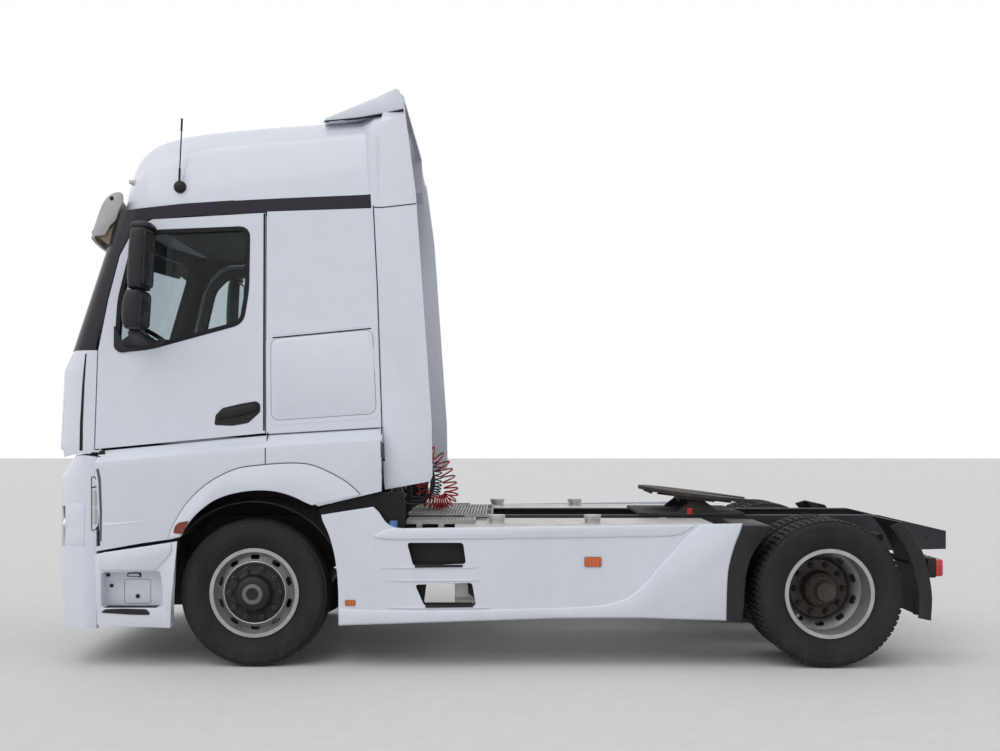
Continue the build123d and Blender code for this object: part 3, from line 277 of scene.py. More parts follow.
def rim_finish(name, grey, dust, station, inner, outer, centre_colour, share):
    """Rim silver that darkens towards the hub, by the distance from the wheel's axle."""
    made = finish_of(name, (grey, grey, grey + 0.01), 0.38, metallic=0.6, grain=300.0, bump=0.12,
        mottle=0.2, dust=dust, clean_height=1.6, patch=7.0, dust_colour=(0.17, 0.15, 0.14, 1))
    tree = made.node_tree
    shader = tree.nodes["Principled BSDF"]
    place = tree.nodes.new("ShaderNodeTexCoord").outputs["Object"]
    split = tree.nodes.new("ShaderNodeSeparateXYZ")
    tree.links.new(place, split.inputs[0])
    along = maths(tree, "SUBTRACT", split.outputs["X"], station)
    up = maths(tree, "SUBTRACT", split.outputs["Z"], axle_z)
    squares = maths(tree, "ADD", maths(tree, "MULTIPLY", along, along),
        maths(tree, "MULTIPLY", up, up))
    uneven = ramp(tree, noise(tree, place, 14.0, 4.0), 0.0, 1.0, -0.022, 0.022)
    radius = maths(tree, "ADD", maths(tree, "SQRT", squares), uneven)
    # The middle of the rim is coloured darker by its distance from the axle, down to an almost
    # black brown.
    clean = shader.inputs["Base Color"].links[0].from_socket
    feed(tree, shader, Base_Color=mixed(tree, ramp(tree, radius, inner, outer, share, 0.0), clean,
        (*centre_colour, 1)))
    return made


RIM_REAR = rim_finish("rim_rear_dark_centre", 0.50, 0.45, rear_axle.x, 0.205, 0.262,
    (0.035, 0.024, 0.020), 0.95)
RIM_FRONT = rim_finish("rim_front_dark_centre", 0.46, 0.5, front_axle.x, 0.235, 0.280,
    (0.085, 0.072, 0.064), 0.75)
HUB_COVER = finish_of("hub_cover", (0.012, 0.011, 0.014), 0.45, bump=0.2, mottle=0.3, dust=0.06,
    specular=0.3)
HUB_RUST = finish_of("hub_rust", (0.034, 0.023, 0.019), 0.8, grain=120.0, bump=0.5, mottle=0.5,
    dust=0.3, dust_colour=(0.10, 0.07, 0.055, 1))
BRIGHT_METAL = finish_of("bright_metal", (0.62, 0.62, 0.64), 0.28, metallic=1.0, bump=0.08,
    mottle=0.1, dust=0.15)
FRAME_PAINT = finish_of("frame_paint", (0.026, 0.026, 0.034), 0.55, grain=150.0, bump=0.25,
    mottle=0.3, dust=0.3, dust_colour=(0.10, 0.09, 0.085, 1), specular=0.35)
DUSTY_IRON = finish_of("dusty_iron", (0.050, 0.040, 0.036), 0.75, metallic=0.2, grain=110.0,
    bump=0.5, mottle=0.45, dust=0.5, clean_height=2.0, dust_colour=(0.12, 0.10, 0.085, 1))
TREAD_ALUMINIUM = finish_of("tread_aluminium", (0.50, 0.49, 0.47), 0.5, metallic=0.35, grain=140.0,
    bump=0.25, mottle=0.3, dust=0.35, clean_height=2.4, dust_colour=(0.24, 0.22, 0.20, 1))
TANK_CREAM = finish_of("tank_metal", (0.58, 0.57, 0.55), 0.4, metallic=0.5, mottle=0.15, dust=0.5,
    clean_height=1.8, dust_colour=(0.32, 0.29, 0.26, 1))
VISOR_AGED = finish_of("visor_aged", (0.50, 0.475, 0.47), 0.5, grain=90.0, bump=0.2, mottle=0.08,
    dust=0.22, clean_height=6.0, patch=9.0, dust_colour=(0.26, 0.18, 0.13, 1))
VISOR_UNDER = finish_of("visor_under", (0.24, 0.18, 0.13), 0.7, bump=0.1, mottle=0.1, dust=0.1)
SEAT_CLOTH = finish_of("seat_cloth", (0.045, 0.046, 0.052), 0.9, grain=700.0, bump=0.6, mottle=0.25,
    dust=0.0)
BUNK_CLOTH = finish_of("bunk_cloth", (0.16, 0.16, 0.17), 0.9, grain=600.0, bump=0.5, mottle=0.2,
    dust=0.0)
CABIN_PLASTIC = finish_of("cabin_plastic", (0.095, 0.100, 0.112), 0.6, bump=0.3, dust=0.0)
HOSE_RED = finish_of("hose_red", (0.56, 0.030, 0.030), 0.38, grain=200.0, bump=0.05, mottle=0.2,
    dust=0.35, clean_height=2.2, dust_colour=(0.28, 0.10, 0.09, 1))
CABLE_BLACK = finish_of("cable_black", (0.015, 0.015, 0.017), 0.45, bump=0.1, dust=0.2)
CAB_GLASS = glass_of("cab_glass", (0.60, 0.66, 0.68))
LAMP_GLASS = glass_of("lamp_glass", (0.93, 0.95, 0.97))
MIRROR_BLACK = finish_of("mirror_black", (0.014, 0.013, 0.018), 0.42, bump=0.15, mottle=0.2,
    dust=0.03, specular=0.35)
SHADOW_GREY = finish_of("shadow_grey", (0.10, 0.10, 0.115), 0.6, bump=0.1, mottle=0.2, dust=0.1)
SEAM_GREY = finish_of("seam_grey", (0.13, 0.135, 0.155), 0.6, bump=0.1, mottle=0.2, dust=0.1)
MIRROR_GLASS = finish_of("mirror_glass", (0.80, 0.82, 0.84), 0.04, metallic=1.0, bump=0.0,
    mottle=0.02, dust=0.0)
LENS_ORANGE = lamp_lens("lens_orange", (0.90, 0.16, 0.015))
LENS_RED = lamp_lens("lens_red", (0.62, 0.020, 0.020))
LENS_BROWN_RED = lamp_lens("lens_brown_red", (0.30, 0.035, 0.015))
LENS_CLEAR = lamp_lens("lens_clear", (0.62, 0.62, 0.62))
CAP_BLUE = finish_of("cap_blue", (0.05, 0.16, 0.34), 0.4, bump=0.05, mottle=0.1, dust=0.3)
PLATE_WHITE = finish_of("plate_white", (0.78, 0.78, 0.76), 0.4, bump=0.02, mottle=0.03, dust=0.3)


# --- Making and placing pieces ---

def settle(piece, body, material, shade=0, replaced=()):
    """Gives a piece its material and lets it ride on a body.

    shade is the angle in degrees past which an edge stays sharp: 0 for flat faces, 180 for smooth.
    """
    piece.data.materials.clear()
    piece.data.materials.append(material)
    if shade:
        piece.data.shade_smooth()
    if 0 < shade < 180:
        piece.data.set_sharp_from_angle(angle=radians(shade))
    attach(piece, body)
    if replaced:
        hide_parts(*replaced)
    return piece


def new_object(name, data):
    """An object of some data, in the scene."""
    made = bpy.data.objects.new(name, data)
    bpy.context.scene.collection.objects.link(made)
    return made


def as_piece(name, shape):
    """An object from a bmesh, as it is."""
    mesh = bpy.data.meshes.new(name)
    shape.to_mesh(mesh)
    shape.free()
    return new_object(name, mesh)


def mesh_piece(name, shape):
    """An object from a bmesh, with its doubles merged and its faces pointing outwards."""
    bmesh.ops.remove_doubles(shape, verts=shape.verts, dist=1e-6)
    bmesh.ops.recalc_face_normals(shape, faces=shape.faces)
    return as_piece(name, shape)


def bake(piece):
    """Turns what the modifiers make of a piece into its plain mesh."""
    held = piece.evaluated_get(bpy.context.evaluated_depsgraph_get())
    mesh = bpy.data.meshes.new_from_object(held)
    name = mesh.name = piece.name
    if piece.type == "MESH":
        piece.modifiers.clear()
        piece.data = mesh
        return piece
    bpy.data.objects.remove(piece)
    return new_object(name, mesh)


def subdivided(piece):
    """A smooth piece from its control cage."""
    soft = piece.modifiers.new("soft", "SUBSURF")
    soft.levels = soft.render_levels = 2
    return bake(piece)


def walled(piece, thickness, offset):
    """A piece with its open surface made a wall."""
    made = piece.modifiers.new("wall", "SOLIDIFY")
    made.thickness = thickness
    made.offset = offset
    return bake(piece)


def lofted(name, rings, closed_ends=True):
    """A skin through rings of points that have the same count."""
    shape = bmesh.new()
    rows = [[shape.verts.new(Vector(p)) for p in ring] for ring in rings]
    count = len(rows[0])
    for first, second in zip(rows, rows[1:]):
        for i in range(count):
            j = (i + 1) % count
            shape.faces.new((first[i], first[j], second[j], second[i]))
    if closed_ends:
        shape.faces.new(rows[0])
        shape.faces.new(rows[-1])
    return mesh_piece(name, shape)


def bevelled(piece, width, segments=2, angle=30):
    """Rounds the sharp edges of a piece."""
    made = piece.modifiers.new("edges", "BEVEL")
    made.width = width
    made.segments = segments
    made.limit_method = "ANGLE"
    made.angle_limit = radians(angle)
    return bake(piece)


def rounded(points, radius, steps=5):
    """A closed outline with its corners turned into arcs."""
    count = len(points)
    out = []
    for i, here in enumerate(points):
        here = Vector(here)
        before = Vector(points[i - 1]) - here
        after = Vector(points[(i + 1) % count]) - here
        reach = min(radius, 0.45 * before.length, 0.45 * after.length)
        start, end = here + before.normalized() * reach, here + after.normalized() * reach
        for step in range(steps + 1):
            t = step / steps
            out.append((1 - t) ** 2 * start + 2 * t * (1 - t) * here + t * t * end)
    return out


def add_prism(shape, outline, near, far, place):
    """A prism of an outline between two depths; place(u, v, depth) gives the world point."""
    rings = [[shape.verts.new(place(u, v, depth)) for u, v in outline] for depth in (near, far)]
    count = len(outline)
    for i in range(count):
        shape.faces.new((rings[0][i], rings[0][(i + 1) % count], rings[1][(i + 1) % count],
            rings[1][i]))
    shape.faces.new(rings[0])
    shape.faces.new(reversed(rings[1]))


def on_side(side):
    """Place function of a side view: station, height and distance from the middle."""
    return lambda x, z, y: Vector((at(x), side * y, z))


def on_cab_side(side):
    """As on_side, with the depth measured outwards from the leaning side of the cab."""
    return lambda x, z, y: Vector((at(x), side * (cab_side(z) + y), z))


def slab(name, outline, near, far, place, bevel=0.002):
    """A plate of an outline with softened edges."""
    shape = bmesh.new()
    add_prism(shape, outline, near, far, place)
    made = mesh_piece(name, shape)
    return bevelled(made, bevel) if bevel else made


def offset_outline(outline, amount):
    """An outline moved outwards by an amount."""
    count = len(outline)
    area = sum(outline[i - 1][0] * outline[i][1] - outline[i][0] * outline[i - 1][1]
               for i in range(count))
    turn = 1 if area > 0 else -1
    out = []
    for i in range(count):
        before = (Vector(outline[i]) - Vector(outline[i - 1]))
        after = (Vector(outline[(i + 1) % count]) - Vector(outline[i]))
        if before.length < 1e-9 or after.length < 1e-9:
            before = after if before.length < 1e-9 else before
            after = before if after.length < 1e-9 else after
        a, b = before.normalized(), after.normalized()
        normal = Vector((a.y + b.y, -a.x - b.x))
        normal.normalize()
        widen = max(0.5, normal.dot(Vector((a.y, -a.x))))
        out.append(Vector(outline[i]) + normal * (turn * amount / widen))
    return out


def frame_strip(name, outline, outward, inward, near, far, place, bevel=0.0015):
    """A closed strip that follows an outline, such as a window seal."""
    outer, inner = offset_outline(outline, outward), offset_outline(outline, -inward)
    shape = bmesh.new()
    rings = [[shape.verts.new(place(*point, depth)) for point in ring]
             for ring in (outer, inner) for depth in (near, far)]
    count = len(outline)
    for first, second in ((0, 1), (1, 3), (3, 2), (2, 0)):
        for i in range(count):
            j = (i + 1) % count
            shape.faces.new((rings[first][i], rings[first][j], rings[second][j], rings[second][i]))
    made = mesh_piece(name, shape)
    return bevelled(made, bevel, 1, 50) if bevel else made


def tube(name, points, radius, resolution=4, kind="POLY"):
    """A round rod or pipe along world points."""
    curve = bpy.data.curves.new(name, "CURVE")
    curve.dimensions = "3D"
    line = curve.splines.new(kind)
    line.points.add(len(points) - 1)
    for knot, point in zip(line.points, points):
        knot.co = (*point, 1)
    if kind == "NURBS":
        line.order_u = 3
        line.use_endpoint_u = True
    curve.bevel_depth = radius
    curve.bevel_resolution = resolution
    curve.use_fill_caps = True
    return new_object(name, curve)


def pipe(name, points, radius, kind="NURBS"):
    """A pipe as a plain mesh."""
    return bake(tube(name, points, radius, 3, kind))


def add_turned(shape, profile, centre, steps=96, axis="Y"):
    """Spins a profile of (radius, distance outwards) about a line along Y or Z."""
    rings = []
    for radius, out in profile:
        if radius < 1e-6:
            point = Vector((0, out, 0)) if axis == "Y" else Vector((0, 0, out))
            rings.append([shape.verts.new(centre + point)])
            continue
        ring = []
        for step in range(steps):
            angle = 2 * pi * step / steps
            c, s = radius * cos(angle), radius * sin(angle)
            point = Vector((c, out, s)) if axis == "Y" else Vector((c, s, out))
            ring.append(shape.verts.new(centre + point))
        rings.append(ring)
    for first, second in zip(rings, rings[1:]):
        for step in range(steps):
            following = (step + 1) % steps
            corners = [first[step % len(first)], first[following % len(first)],
                       second[following % len(second)], second[step % len(second)]]
            unique = list(dict.fromkeys(corners))
            if len(unique) > 2:
                shape.faces.new(unique)


def turned_piece(name, profile, centre, steps=96, axis="Y"):
    """A turned piece as an object."""
    shape = bmesh.new()
    add_turned(shape, profile, centre, steps, axis)
    return mesh_piece(name, shape)


def block(shape, x0, x1, y0, y1, z0, z1):
    """A block by stations, world Y and heights."""
    bmesh.ops.create_cube(shape, size=1, matrix=Matrix.Translation((at((x0 + x1) / 2),
        (y0 + y1) / 2, (z0 + z1) / 2)) @ Matrix.Diagonal((x1 - x0, y1 - y0, z1 - z0, 1)))


def block_piece(name, *boxes, bevel=0.004, segments=2):
    """One piece from several blocks with rounded edges."""
    shape = bmesh.new()
    for box in boxes:
        block(shape, *box)
    made = mesh_piece(name, shape)
    return bevelled(made, bevel, segments) if bevel else made


# --- Repeats by geometry nodes ---

def repeat_tree(name, turning):
    """Copies of the piece's own mesh: along an offset, or turned about a line along Y."""
    tree = bpy.data.node_groups.new(name, "GeometryNodeTree")
    face = tree.interface
    face.new_socket(name="Geometry", in_out="INPUT", socket_type="NodeSocketGeometry")
    face.new_socket(name="Copies", in_out="INPUT", socket_type="NodeSocketInt")
    face.new_socket(name="Centre" if turning else "Offset", in_out="INPUT",
        socket_type="NodeSocketVector")
    face.new_socket(name="Material", in_out="INPUT", socket_type="NodeSocketMaterial")
    face.new_socket(name="Geometry", in_out="OUTPUT", socket_type="NodeSocketGeometry")
    given, result = tree.nodes.new("NodeGroupInput"), tree.nodes.new("NodeGroupOutput")
    points = tree.nodes.new("GeometryNodeMeshLine")
    points.mode = "OFFSET"
    tree.links.new(given.outputs["Copies"], points.inputs["Count"])
    copies = tree.nodes.new("GeometryNodeInstanceOnPoints")
    tree.links.new(points.outputs["Mesh"], copies.inputs["Points"])
    if turning:
        tree.links.new(given.outputs["Centre"], points.inputs["Start Location"])
        points.inputs["Offset"].default_value = (0, 0, 0)
        back = tree.nodes.new("ShaderNodeVectorMath")
        back.operation = "SCALE"
        back.inputs["Scale"].default_value = -1
        tree.links.new(given.outputs["Centre"], back.inputs[0])
        moved = tree.nodes.new("GeometryNodeTransform")
        tree.links.new(given.outputs["Geometry"], moved.inputs["Geometry"])
        tree.links.new(back.outputs["Vector"], moved.inputs["Translation"])
        tree.links.new(moved.outputs["Geometry"], copies.inputs["Instance"])
        index = tree.nodes.new("GeometryNodeInputIndex")
        share = maths(tree, "DIVIDE", index.outputs["Index"], given.outputs["Copies"])
        angle = tree.nodes.new("ShaderNodeCombineXYZ")
        tree.links.new(maths(tree, "MULTIPLY", share, 2 * pi), angle.inputs["Y"])
        tree.links.new(angle.outputs["Vector"], copies.inputs["Rotation"])
    else:
        tree.links.new(given.outputs["Offset"], points.inputs["Offset"])
        tree.links.new(given.outputs["Geometry"], copies.inputs["Instance"])
    real = tree.nodes.new("GeometryNodeRealizeInstances")
    painted = tree.nodes.new("GeometryNodeSetMaterial")
    tree.links.new(copies.outputs["Instances"], real.inputs["Geometry"])
    tree.links.new(real.outputs["Geometry"], painted.inputs["Geometry"])
    tree.links.new(given.outputs["Material"], painted.inputs["Material"])
    tree.links.new(painted.outputs["Geometry"], result.inputs["Geometry"])
    return tree


ROW_OF_COPIES = repeat_tree("row_of_copies", False)
RING_OF_COPIES = repeat_tree("ring_of_copies", True)


def repeated(piece, tree, copies, vector, material):
    """Runs a repeat tree on a piece and keeps the result as its mesh."""
    made = piece.modifiers.new("repeats", "NODES")
    made.node_group = tree
    values = {"Copies": copies, "Material": material,
              "Centre" if tree is RING_OF_COPIES else "Offset": tuple(vector)}
    for item in tree.interface.items_tree:
        if item.in_out == "INPUT" and item.name in values:
            made[item.identifier] = values[item.name]
    return bake(piece)


def block_row(name, box, copies, step, material):
    """Copies of a block in a row on the chassis."""
    shape = bmesh.new()
    block(shape, *box)
    settle(repeated(mesh_piece(name, shape), ROW_OF_COPIES, copies, step, material), "chassis",
           material)


def joined(name, pieces):
    """Several plain meshes as one piece."""
    shape = bmesh.new()
    for one in pieces:
        shape.from_mesh(one.data)
        bpy.data.objects.remove(one)
    return as_piece(name, shape)


# --- Camera, light and floor ---

eye_station = 1.650
eye_distance = 8.920
eye_height = 1.577
lens_pixels = 1156.0
image_width = 1000.0
horizon_below_centre = 56.5

view_camera = bpy.data.cameras.new("photograph_view")
view_camera.sensor_width = 36.0
view_camera.lens = 36.0 * lens_pixels / image_width
view_camera.shift_y = horizon_below_centre / image_width
view_camera.clip_end = 200
camera = new_object("photograph_view", view_camera)
camera.location = (at(eye_station), -eye_distance, eye_height)
camera.rotation_euler = (radians(90), 0, 0)
bpy.context.scene.camera = camera
bpy.context.scene.view_settings.view_transform = "Standard"

sun = bpy.data.lights.new("sky_glow", "SUN")
sun.energy = 1.1
sun.angle = radians(60)
glow = new_object("sky_glow", sun)
glow.rotation_euler = (radians(32), radians(-28), 0)


def studio_sky():
    """Even light from all round, and plain white where the camera or a reflection sees it."""
    world = bpy.data.worlds.new("studio_sky")
    bpy.context.scene.world = world
    world.use_nodes = True
    tree = world.node_tree
    tree.nodes.clear()
    seen = tree.nodes.new("ShaderNodeLightPath").outputs
    straight = maths(tree, "MAXIMUM", seen["Is Camera Ray"], maths(tree, "MAXIMUM",
        seen["Is Glossy Ray"], seen["Is Transmission Ray"]))
    light, white = tree.nodes.new("ShaderNodeBackground"), tree.nodes.new("ShaderNodeBackground")
    light.inputs["Color"].default_value = (0.93, 0.96, 1.0, 1)
    light.inputs["Strength"].default_value = 0.62
    white.inputs["Color"].default_value = (1, 1, 1, 1)
    blend = tree.nodes.new("ShaderNodeMixShader")
    tree.links.new(straight, blend.inputs["Fac"])
    tree.links.new(light.outputs[0], blend.inputs[1])
    tree.links.new(white.outputs[0], blend.inputs[2])
    out = tree.nodes.new("ShaderNodeOutputWorld")
    tree.links.new(blend.outputs[0], out.inputs["Surface"])


def pale_floor():
    """A wide pale floor, a little uneven in tone."""
    shape = bmesh.new()
    bmesh.ops.create_grid(shape, x_segments=1, y_segments=1, size=60)
    floor = mesh_piece("studio_floor", shape)
    floor.data.materials.append(finish_of("pale_floor", (0.74, 0.73, 0.72), 0.85, bump=0.1,
        grain=60.0, mottle=0.04, dust=0.0))


studio_sky()
pale_floor()


# --- Finishes of the carried-over nodes ---

NODE_FINISHES = (
    (PAINT, "cab_shell roof_spoiler door_ locker_lid_"),
    (BAND_BLACK, "roof_band"),
    (MOULDED_BLACK, "grille_upper grille_lower catwalk"),
    (CAB_GLASS, "windscreen door_glass_"),
    (CABIN_PLASTIC, "dashboard"),
    (RIM_FRONT, "rim_front_"),
    (RIM_REAR, "rims_rear_"),
    (FRAME_PAINT, "frame_rail_ crossmember_front crossmember_rear"),
    (DUSTY_IRON, "front_axle rear_axle knuckle_ track_rod leaf_spring_ fifth_wheel_plate "
                 "drive_line fifth_wheel_base"),
    (TANK_CREAM, "tank_"),
)
for finish, names in NODE_FINISHES:
    for name in names.split():
        for full in ((name + "left", name + "right") if name.endswith("_") else (name,)):
            nodes[full].data.materials.clear()
            nodes[full].data.materials.append(finish)


# --- Curly air line and cable ---

points_per_turn = 14
bunching_phase = 0.07
air_route = ((1.000, -0.250, 1.420), (1.170, -0.250, 1.450), (1.270, -0.250, 1.240),
    (1.300, -0.250, 1.050), (1.060, -0.250, 1.050), (1.070, -0.250, 1.290), (1.000, -0.250, 1.290))
cable_route = ((1.000, -0.060, 1.400), (1.180, -0.060, 1.400), (1.180, -0.060, 1.080),
    (1.070, -0.060, 1.080), (1.070, -0.060, 1.290), (1.000, -0.060, 1.290))


def route_line(points):
    """World points along the smooth line of a route."""
    guide = tube("route_guide", [(at(x), y, z) for x, y, z in points], 0.0, kind="NURBS")
    guide.data.resolution_u = 16
    held = guide.evaluated_get(bpy.context.evaluated_depsgraph_get())
    mesh = bpy.data.meshes.new_from_object(held)
    line = [v.co.copy() for v in mesh.vertices]
    bpy.data.objects.remove(guide)
    return line


def curly_line(name, route, coil_radius, tube_radius, turns, material, node, bunching):
    """A coiled line: a helix that runs round its route, straight at both ends."""
    line = route_line(route)
    lengths = [0.0]
    for a, b in zip(line, line[1:]):
        lengths.append(lengths[-1] + (b - a).length)
    total = lengths[-1]
    count = turns * points_per_turn
    points = []
    across = Vector((0, 1, 0))
    leg = 0
    for step in range(count + 1):
        share = step / count
        wave = sin(2 * pi * (share - bunching_phase)) + sin(2 * pi * bunching_phase)
        along = (share + bunching * wave / (2 * pi)) * total
        while leg < len(line) - 2 and lengths[leg + 1] < along:
            leg += 1
        span = lengths[leg + 1] - lengths[leg]
        here = line[leg].lerp(line[leg + 1], (along - lengths[leg]) / span)
        direction = (line[leg + 1] - line[leg]).normalized()
        other = direction.cross(across).normalized()
        ease = min(1.0, share * turns, (1 - share) * turns)
        radius = coil_radius * (3 * ease ** 2 - 2 * ease ** 3)
        angle = 2 * pi * turns * share
        points.append(here + across * (radius * cos(angle)) + other * (radius * sin(angle)))
    cord = tube(name, points, tube_radius, resolution=2, kind="NURBS")
    cord.data.resolution_u = 1
    span = sum((b - a).length for a, b in zip(points, points[1:]))
    settle(cord, "chassis", material, replaced=(node,))


curly_line("curly_air_line", air_route, 0.052, 0.006, 25, HOSE_RED, "air_coil", 0.62)
curly_line("curly_cable", cable_route, 0.026, 0.005, 24, CABLE_BLACK, "cable_coil",
           0.4)


# --- Tyres and wheels ---

tyre_radius = 0.497
tread_depth = 0.012
carcass = (
    (0.289, 0.098), (0.289, 0.111), (0.302, 0.1145), (0.310, 0.121), (0.318, 0.1215),
    (0.321, 0.127), (0.332, 0.133), (0.336, 0.1325), (0.340, 0.137), (0.362, 0.1465),
    (0.366, 0.146), (0.370, 0.149), (0.385, 0.1535), (0.410, 0.1565), (0.430, 0.155),
    (0.446, 0.1515), (0.449, 0.1525), (0.462, 0.146), (0.474, 0.137), (0.4765, 0.128),
)


def tyre_shape(shape, centre):
    """The carcass of one tyre, from bead to bead across the bottom of its grooves."""
    outer = [*carcass, (tyre_radius - tread_depth, 0.060)]
    profile = outer + [(r, -w) for r, w in reversed(outer)]
    profile.append(profile[0])
    add_turned(shape, profile, centre, 120)


def tread_block(name, centre, w0, w1, r0, r1, length, slant=0.0, taper=0.004):
    """One tread block at the top of the tyre: its foot sinks into the carcass."""
    shape = bmesh.new()
    half = length / 2
    foot = tyre_radius - tread_depth - 0.012
    corners = []
    for shrink, heights in ((0.0, (foot, foot)), (taper, (r0, r1))):
        for w, z, lean in zip((w0, w1), heights, (-slant, slant)):
            for sign in (-1, 1):
                x = sign * (half - shrink) + lean
                corners.append(shape.verts.new(centre + Vector((x, w, z))))
    for face in ((0, 1, 3, 2), (4, 5, 7, 6), (0, 1, 5, 4), (2, 3, 7, 6), (0, 2, 6, 4),
                 (1, 3, 7, 5)):
        shape.faces.new([corners[i] for i in face])
    return mesh_piece(name, shape)


def rib_shape(shape, centre, w0, w1, r0, r1):
    """A rib of the tread that runs all round."""
    foot = tyre_radius - tread_depth - 0.004
    add_turned(shape, ((foot, w0), (r0 - 0.002, w0), (r0, w0 + 0.002), (r1, w1 - 0.002),
        (r1 - 0.002, w1), (foot, w1)), centre, 120)


def steer_tyre(hand, side):
    """A steering tyre: four round grooves and small shoulder slots."""
    centre = Vector((front_axle.x, side * half_track, axle_z))
    shape = bmesh.new()
    tyre_shape(shape, centre)
    for w0, w1, r0, r1 in ((-0.088, -0.046, 0.4945, 0.4968), (-0.038, 0.038, 0.497, 0.497),
            (0.046, 0.088, 0.4968, 0.4945)):
        rib_shape(shape, centre, w0, w1, r0, r1)
    base = mesh_piece("tyre_base", shape)
    base.data.materials.append(TYRE_RUBBER)
    parts = [base]
    for sign in (-1, 1):
        one = tread_block("shoulder", centre, sign * 0.096, sign * 0.1285, 0.4935, 0.4885, 0.0285,
            0.0, 0.001)
        parts.append(repeated(one, RING_OF_COPIES, 104, centre, TYRE_RUBBER))
    settle(joined(f"steer_tyre_{hand}", parts), f"wheel_front_{hand}", TYRE_RUBBER,
        40, (f"tyre_front_{hand}",))


def drive_tyres(hand, side):
    """The twin drive tyres with block treads."""
    parts = []
    for y in (rear_wheel_y, rear_wheel_y - twin_spacing):
        centre = Vector((rear_axle.x, side * y, axle_z))
        shape = bmesh.new()
        tyre_shape(shape, centre)
        base = mesh_piece("tyre_base", shape)
        base.data.materials.append(TYRE_RUBBER)
        parts.append(base)
        for w0, w1, r0, r1, slant in (
                (-0.1285, -0.078, 0.4885, 0.4945, 0.004), (-0.070, -0.006, 0.4955, 0.497, -0.005),
                (0.006, 0.070, 0.497, 0.4955, -0.005), (0.078, 0.1285, 0.4945, 0.4885, 0.004)):
            one = tread_block("block", centre, w0, w1, r0, r1, 0.037, slant)
            parts.append(repeated(one, RING_OF_COPIES, 72, centre, TYRE_RUBBER))
    settle(joined(f"drive_tyres_{hand}", parts), f"wheels_rear_{hand}", TYRE_RUBBER,
        40, (f"tyres_rear_{hand}",))


nut_circle = 0.1675
nuts = 10


def ring_of_nuts(name, centre, side, w0, radius, height, body, material):
    """Flanged nuts round a hub."""
    shape = bmesh.new()
    place = centre + Vector((nut_circle, side * w0, 0))
    add_turned(shape, ((0, side * height), (radius * 0.45, side * height),
        (radius * 0.62, side * height * 0.92), (radius * 0.80, side * height * 0.3),
        (radius, side * height * 0.22), (radius, -side * 0.004)), place, 6)
    one = mesh_piece(name, shape)
    settle(repeated(one, RING_OF_COPIES, nuts, centre, material), body, material)


def front_hub(hand, side):
    """The dark cover over the front hub, its bright edge and its nuts."""
    centre = Vector((front_axle.x, side * half_track, axle_z))
    body = f"wheel_front_{hand}"
    settle(turned_piece(f"hub_cover_{hand}", [(r, side * w) for r, w in ((0.204, 0.098),
        (0.206, 0.106), (0.200, 0.113), (0.190, 0.115), (0.184, 0.111), (0.144, 0.113),
        (0.132, 0.118), (0.122, 0.130), (0.118, 0.166), (0.110, 0.180), (0.096, 0.187),
        (0.070, 0.189), (0.066, 0.1865), (0.0, 0.1865))], centre), body, HUB_COVER, 35)
    settle(turned_piece(f"hub_cover_edge_{hand}", [(r, side * w) for r, w in ((0.206, 0.100),
        (0.211, 0.104), (0.2105, 0.109), (0.206, 0.110), (0.203, 0.106))], centre), body,
        BRIGHT_METAL, 180)
    ring_of_nuts(f"wheel_nuts_front_{hand}", centre, side, 0.112, 0.021, 0.030, body, HUB_COVER)


def rear_hub(hand, side):
    """The hub end of the drive axle with its flange bolts, and the wheel nuts."""
    centre = Vector((rear_axle.x, side * (rear_wheel_y - twin_spacing / 2), axle_z))
    body = f"wheels_rear_{hand}"
    settle(turned_piece(f"axle_end_{hand}", [(r, side * w) for r, w in ((0.116, 0.028),
        (0.117, 0.118), (0.113, 0.126), (0.100, 0.129), (0.084, 0.130), (0.080, 0.137),
        (0.062, 0.141), (0.030, 0.143), (0.0, 0.143))], centre), body, HUB_RUST, 35)
    shape = bmesh.new()
    add_turned(shape, ((0, side * 0.140), (0.008, side * 0.140), (0.010, side * 0.137),
        (0.010, side * 0.126)), centre + Vector((0.097, 0, 0)), 6)
    settle(repeated(mesh_piece(f"flange_bolts_{hand}", shape), RING_OF_COPIES, 12, centre,
        HUB_RUST), body, HUB_RUST)
    ring_of_nuts(f"wheel_nuts_rear_{hand}", centre, side, 0.014, 0.023, 0.040, body, HUB_RUST)


both_sides(steer_tyre, drive_tyres, front_hub, rear_hub)


# --- Finding places on the frame's surfaces ---

def surface_of(*names):
    """Where a ray first meets some nodes, or None: a function of a start and a direction."""
    trees = []
    for name in names:
        mesh = nodes[name].data
        trees.append(BVHTree.FromPolygons([v.co for v in mesh.vertices],
            [tuple(p.vertices) for p in mesh.polygons]))

    def cast(start, direction):
        best = None
        for tree in trees:
            place, _, _, distance = tree.ray_cast(Vector(start), Vector(direction))
            if place is not None and (best is None or distance < best[1]):
                best = (place, distance)
        return best[0] if best else None
    return cast


FRONT_OF_CAB = surface_of("windscreen", "roof_band", "front_flap", "cab_roof", "cab_shell")
FRONT_OF_BUMPER = surface_of("bumper", "headlamp_left", "headlamp_right")


def on_front(cast, y, z, out=0.0):
    """A point on a front surface at a distance across and a height, moved out along -X.

    Where the ray passes between two slats, a slat just above or below gives the depth.
    """
    for shift in (0.0, 0.02, -0.02, 0.04, -0.04, 0.06, -0.06, 0.09, -0.09):
        place = cast((-6.0, y, z + shift), (1, 0, 0))
        if place is not None:
            return Vector((place.x - out, y, z))
    raise ValueError(f"nothing in front at {y:.3f}, {z:.3f}")


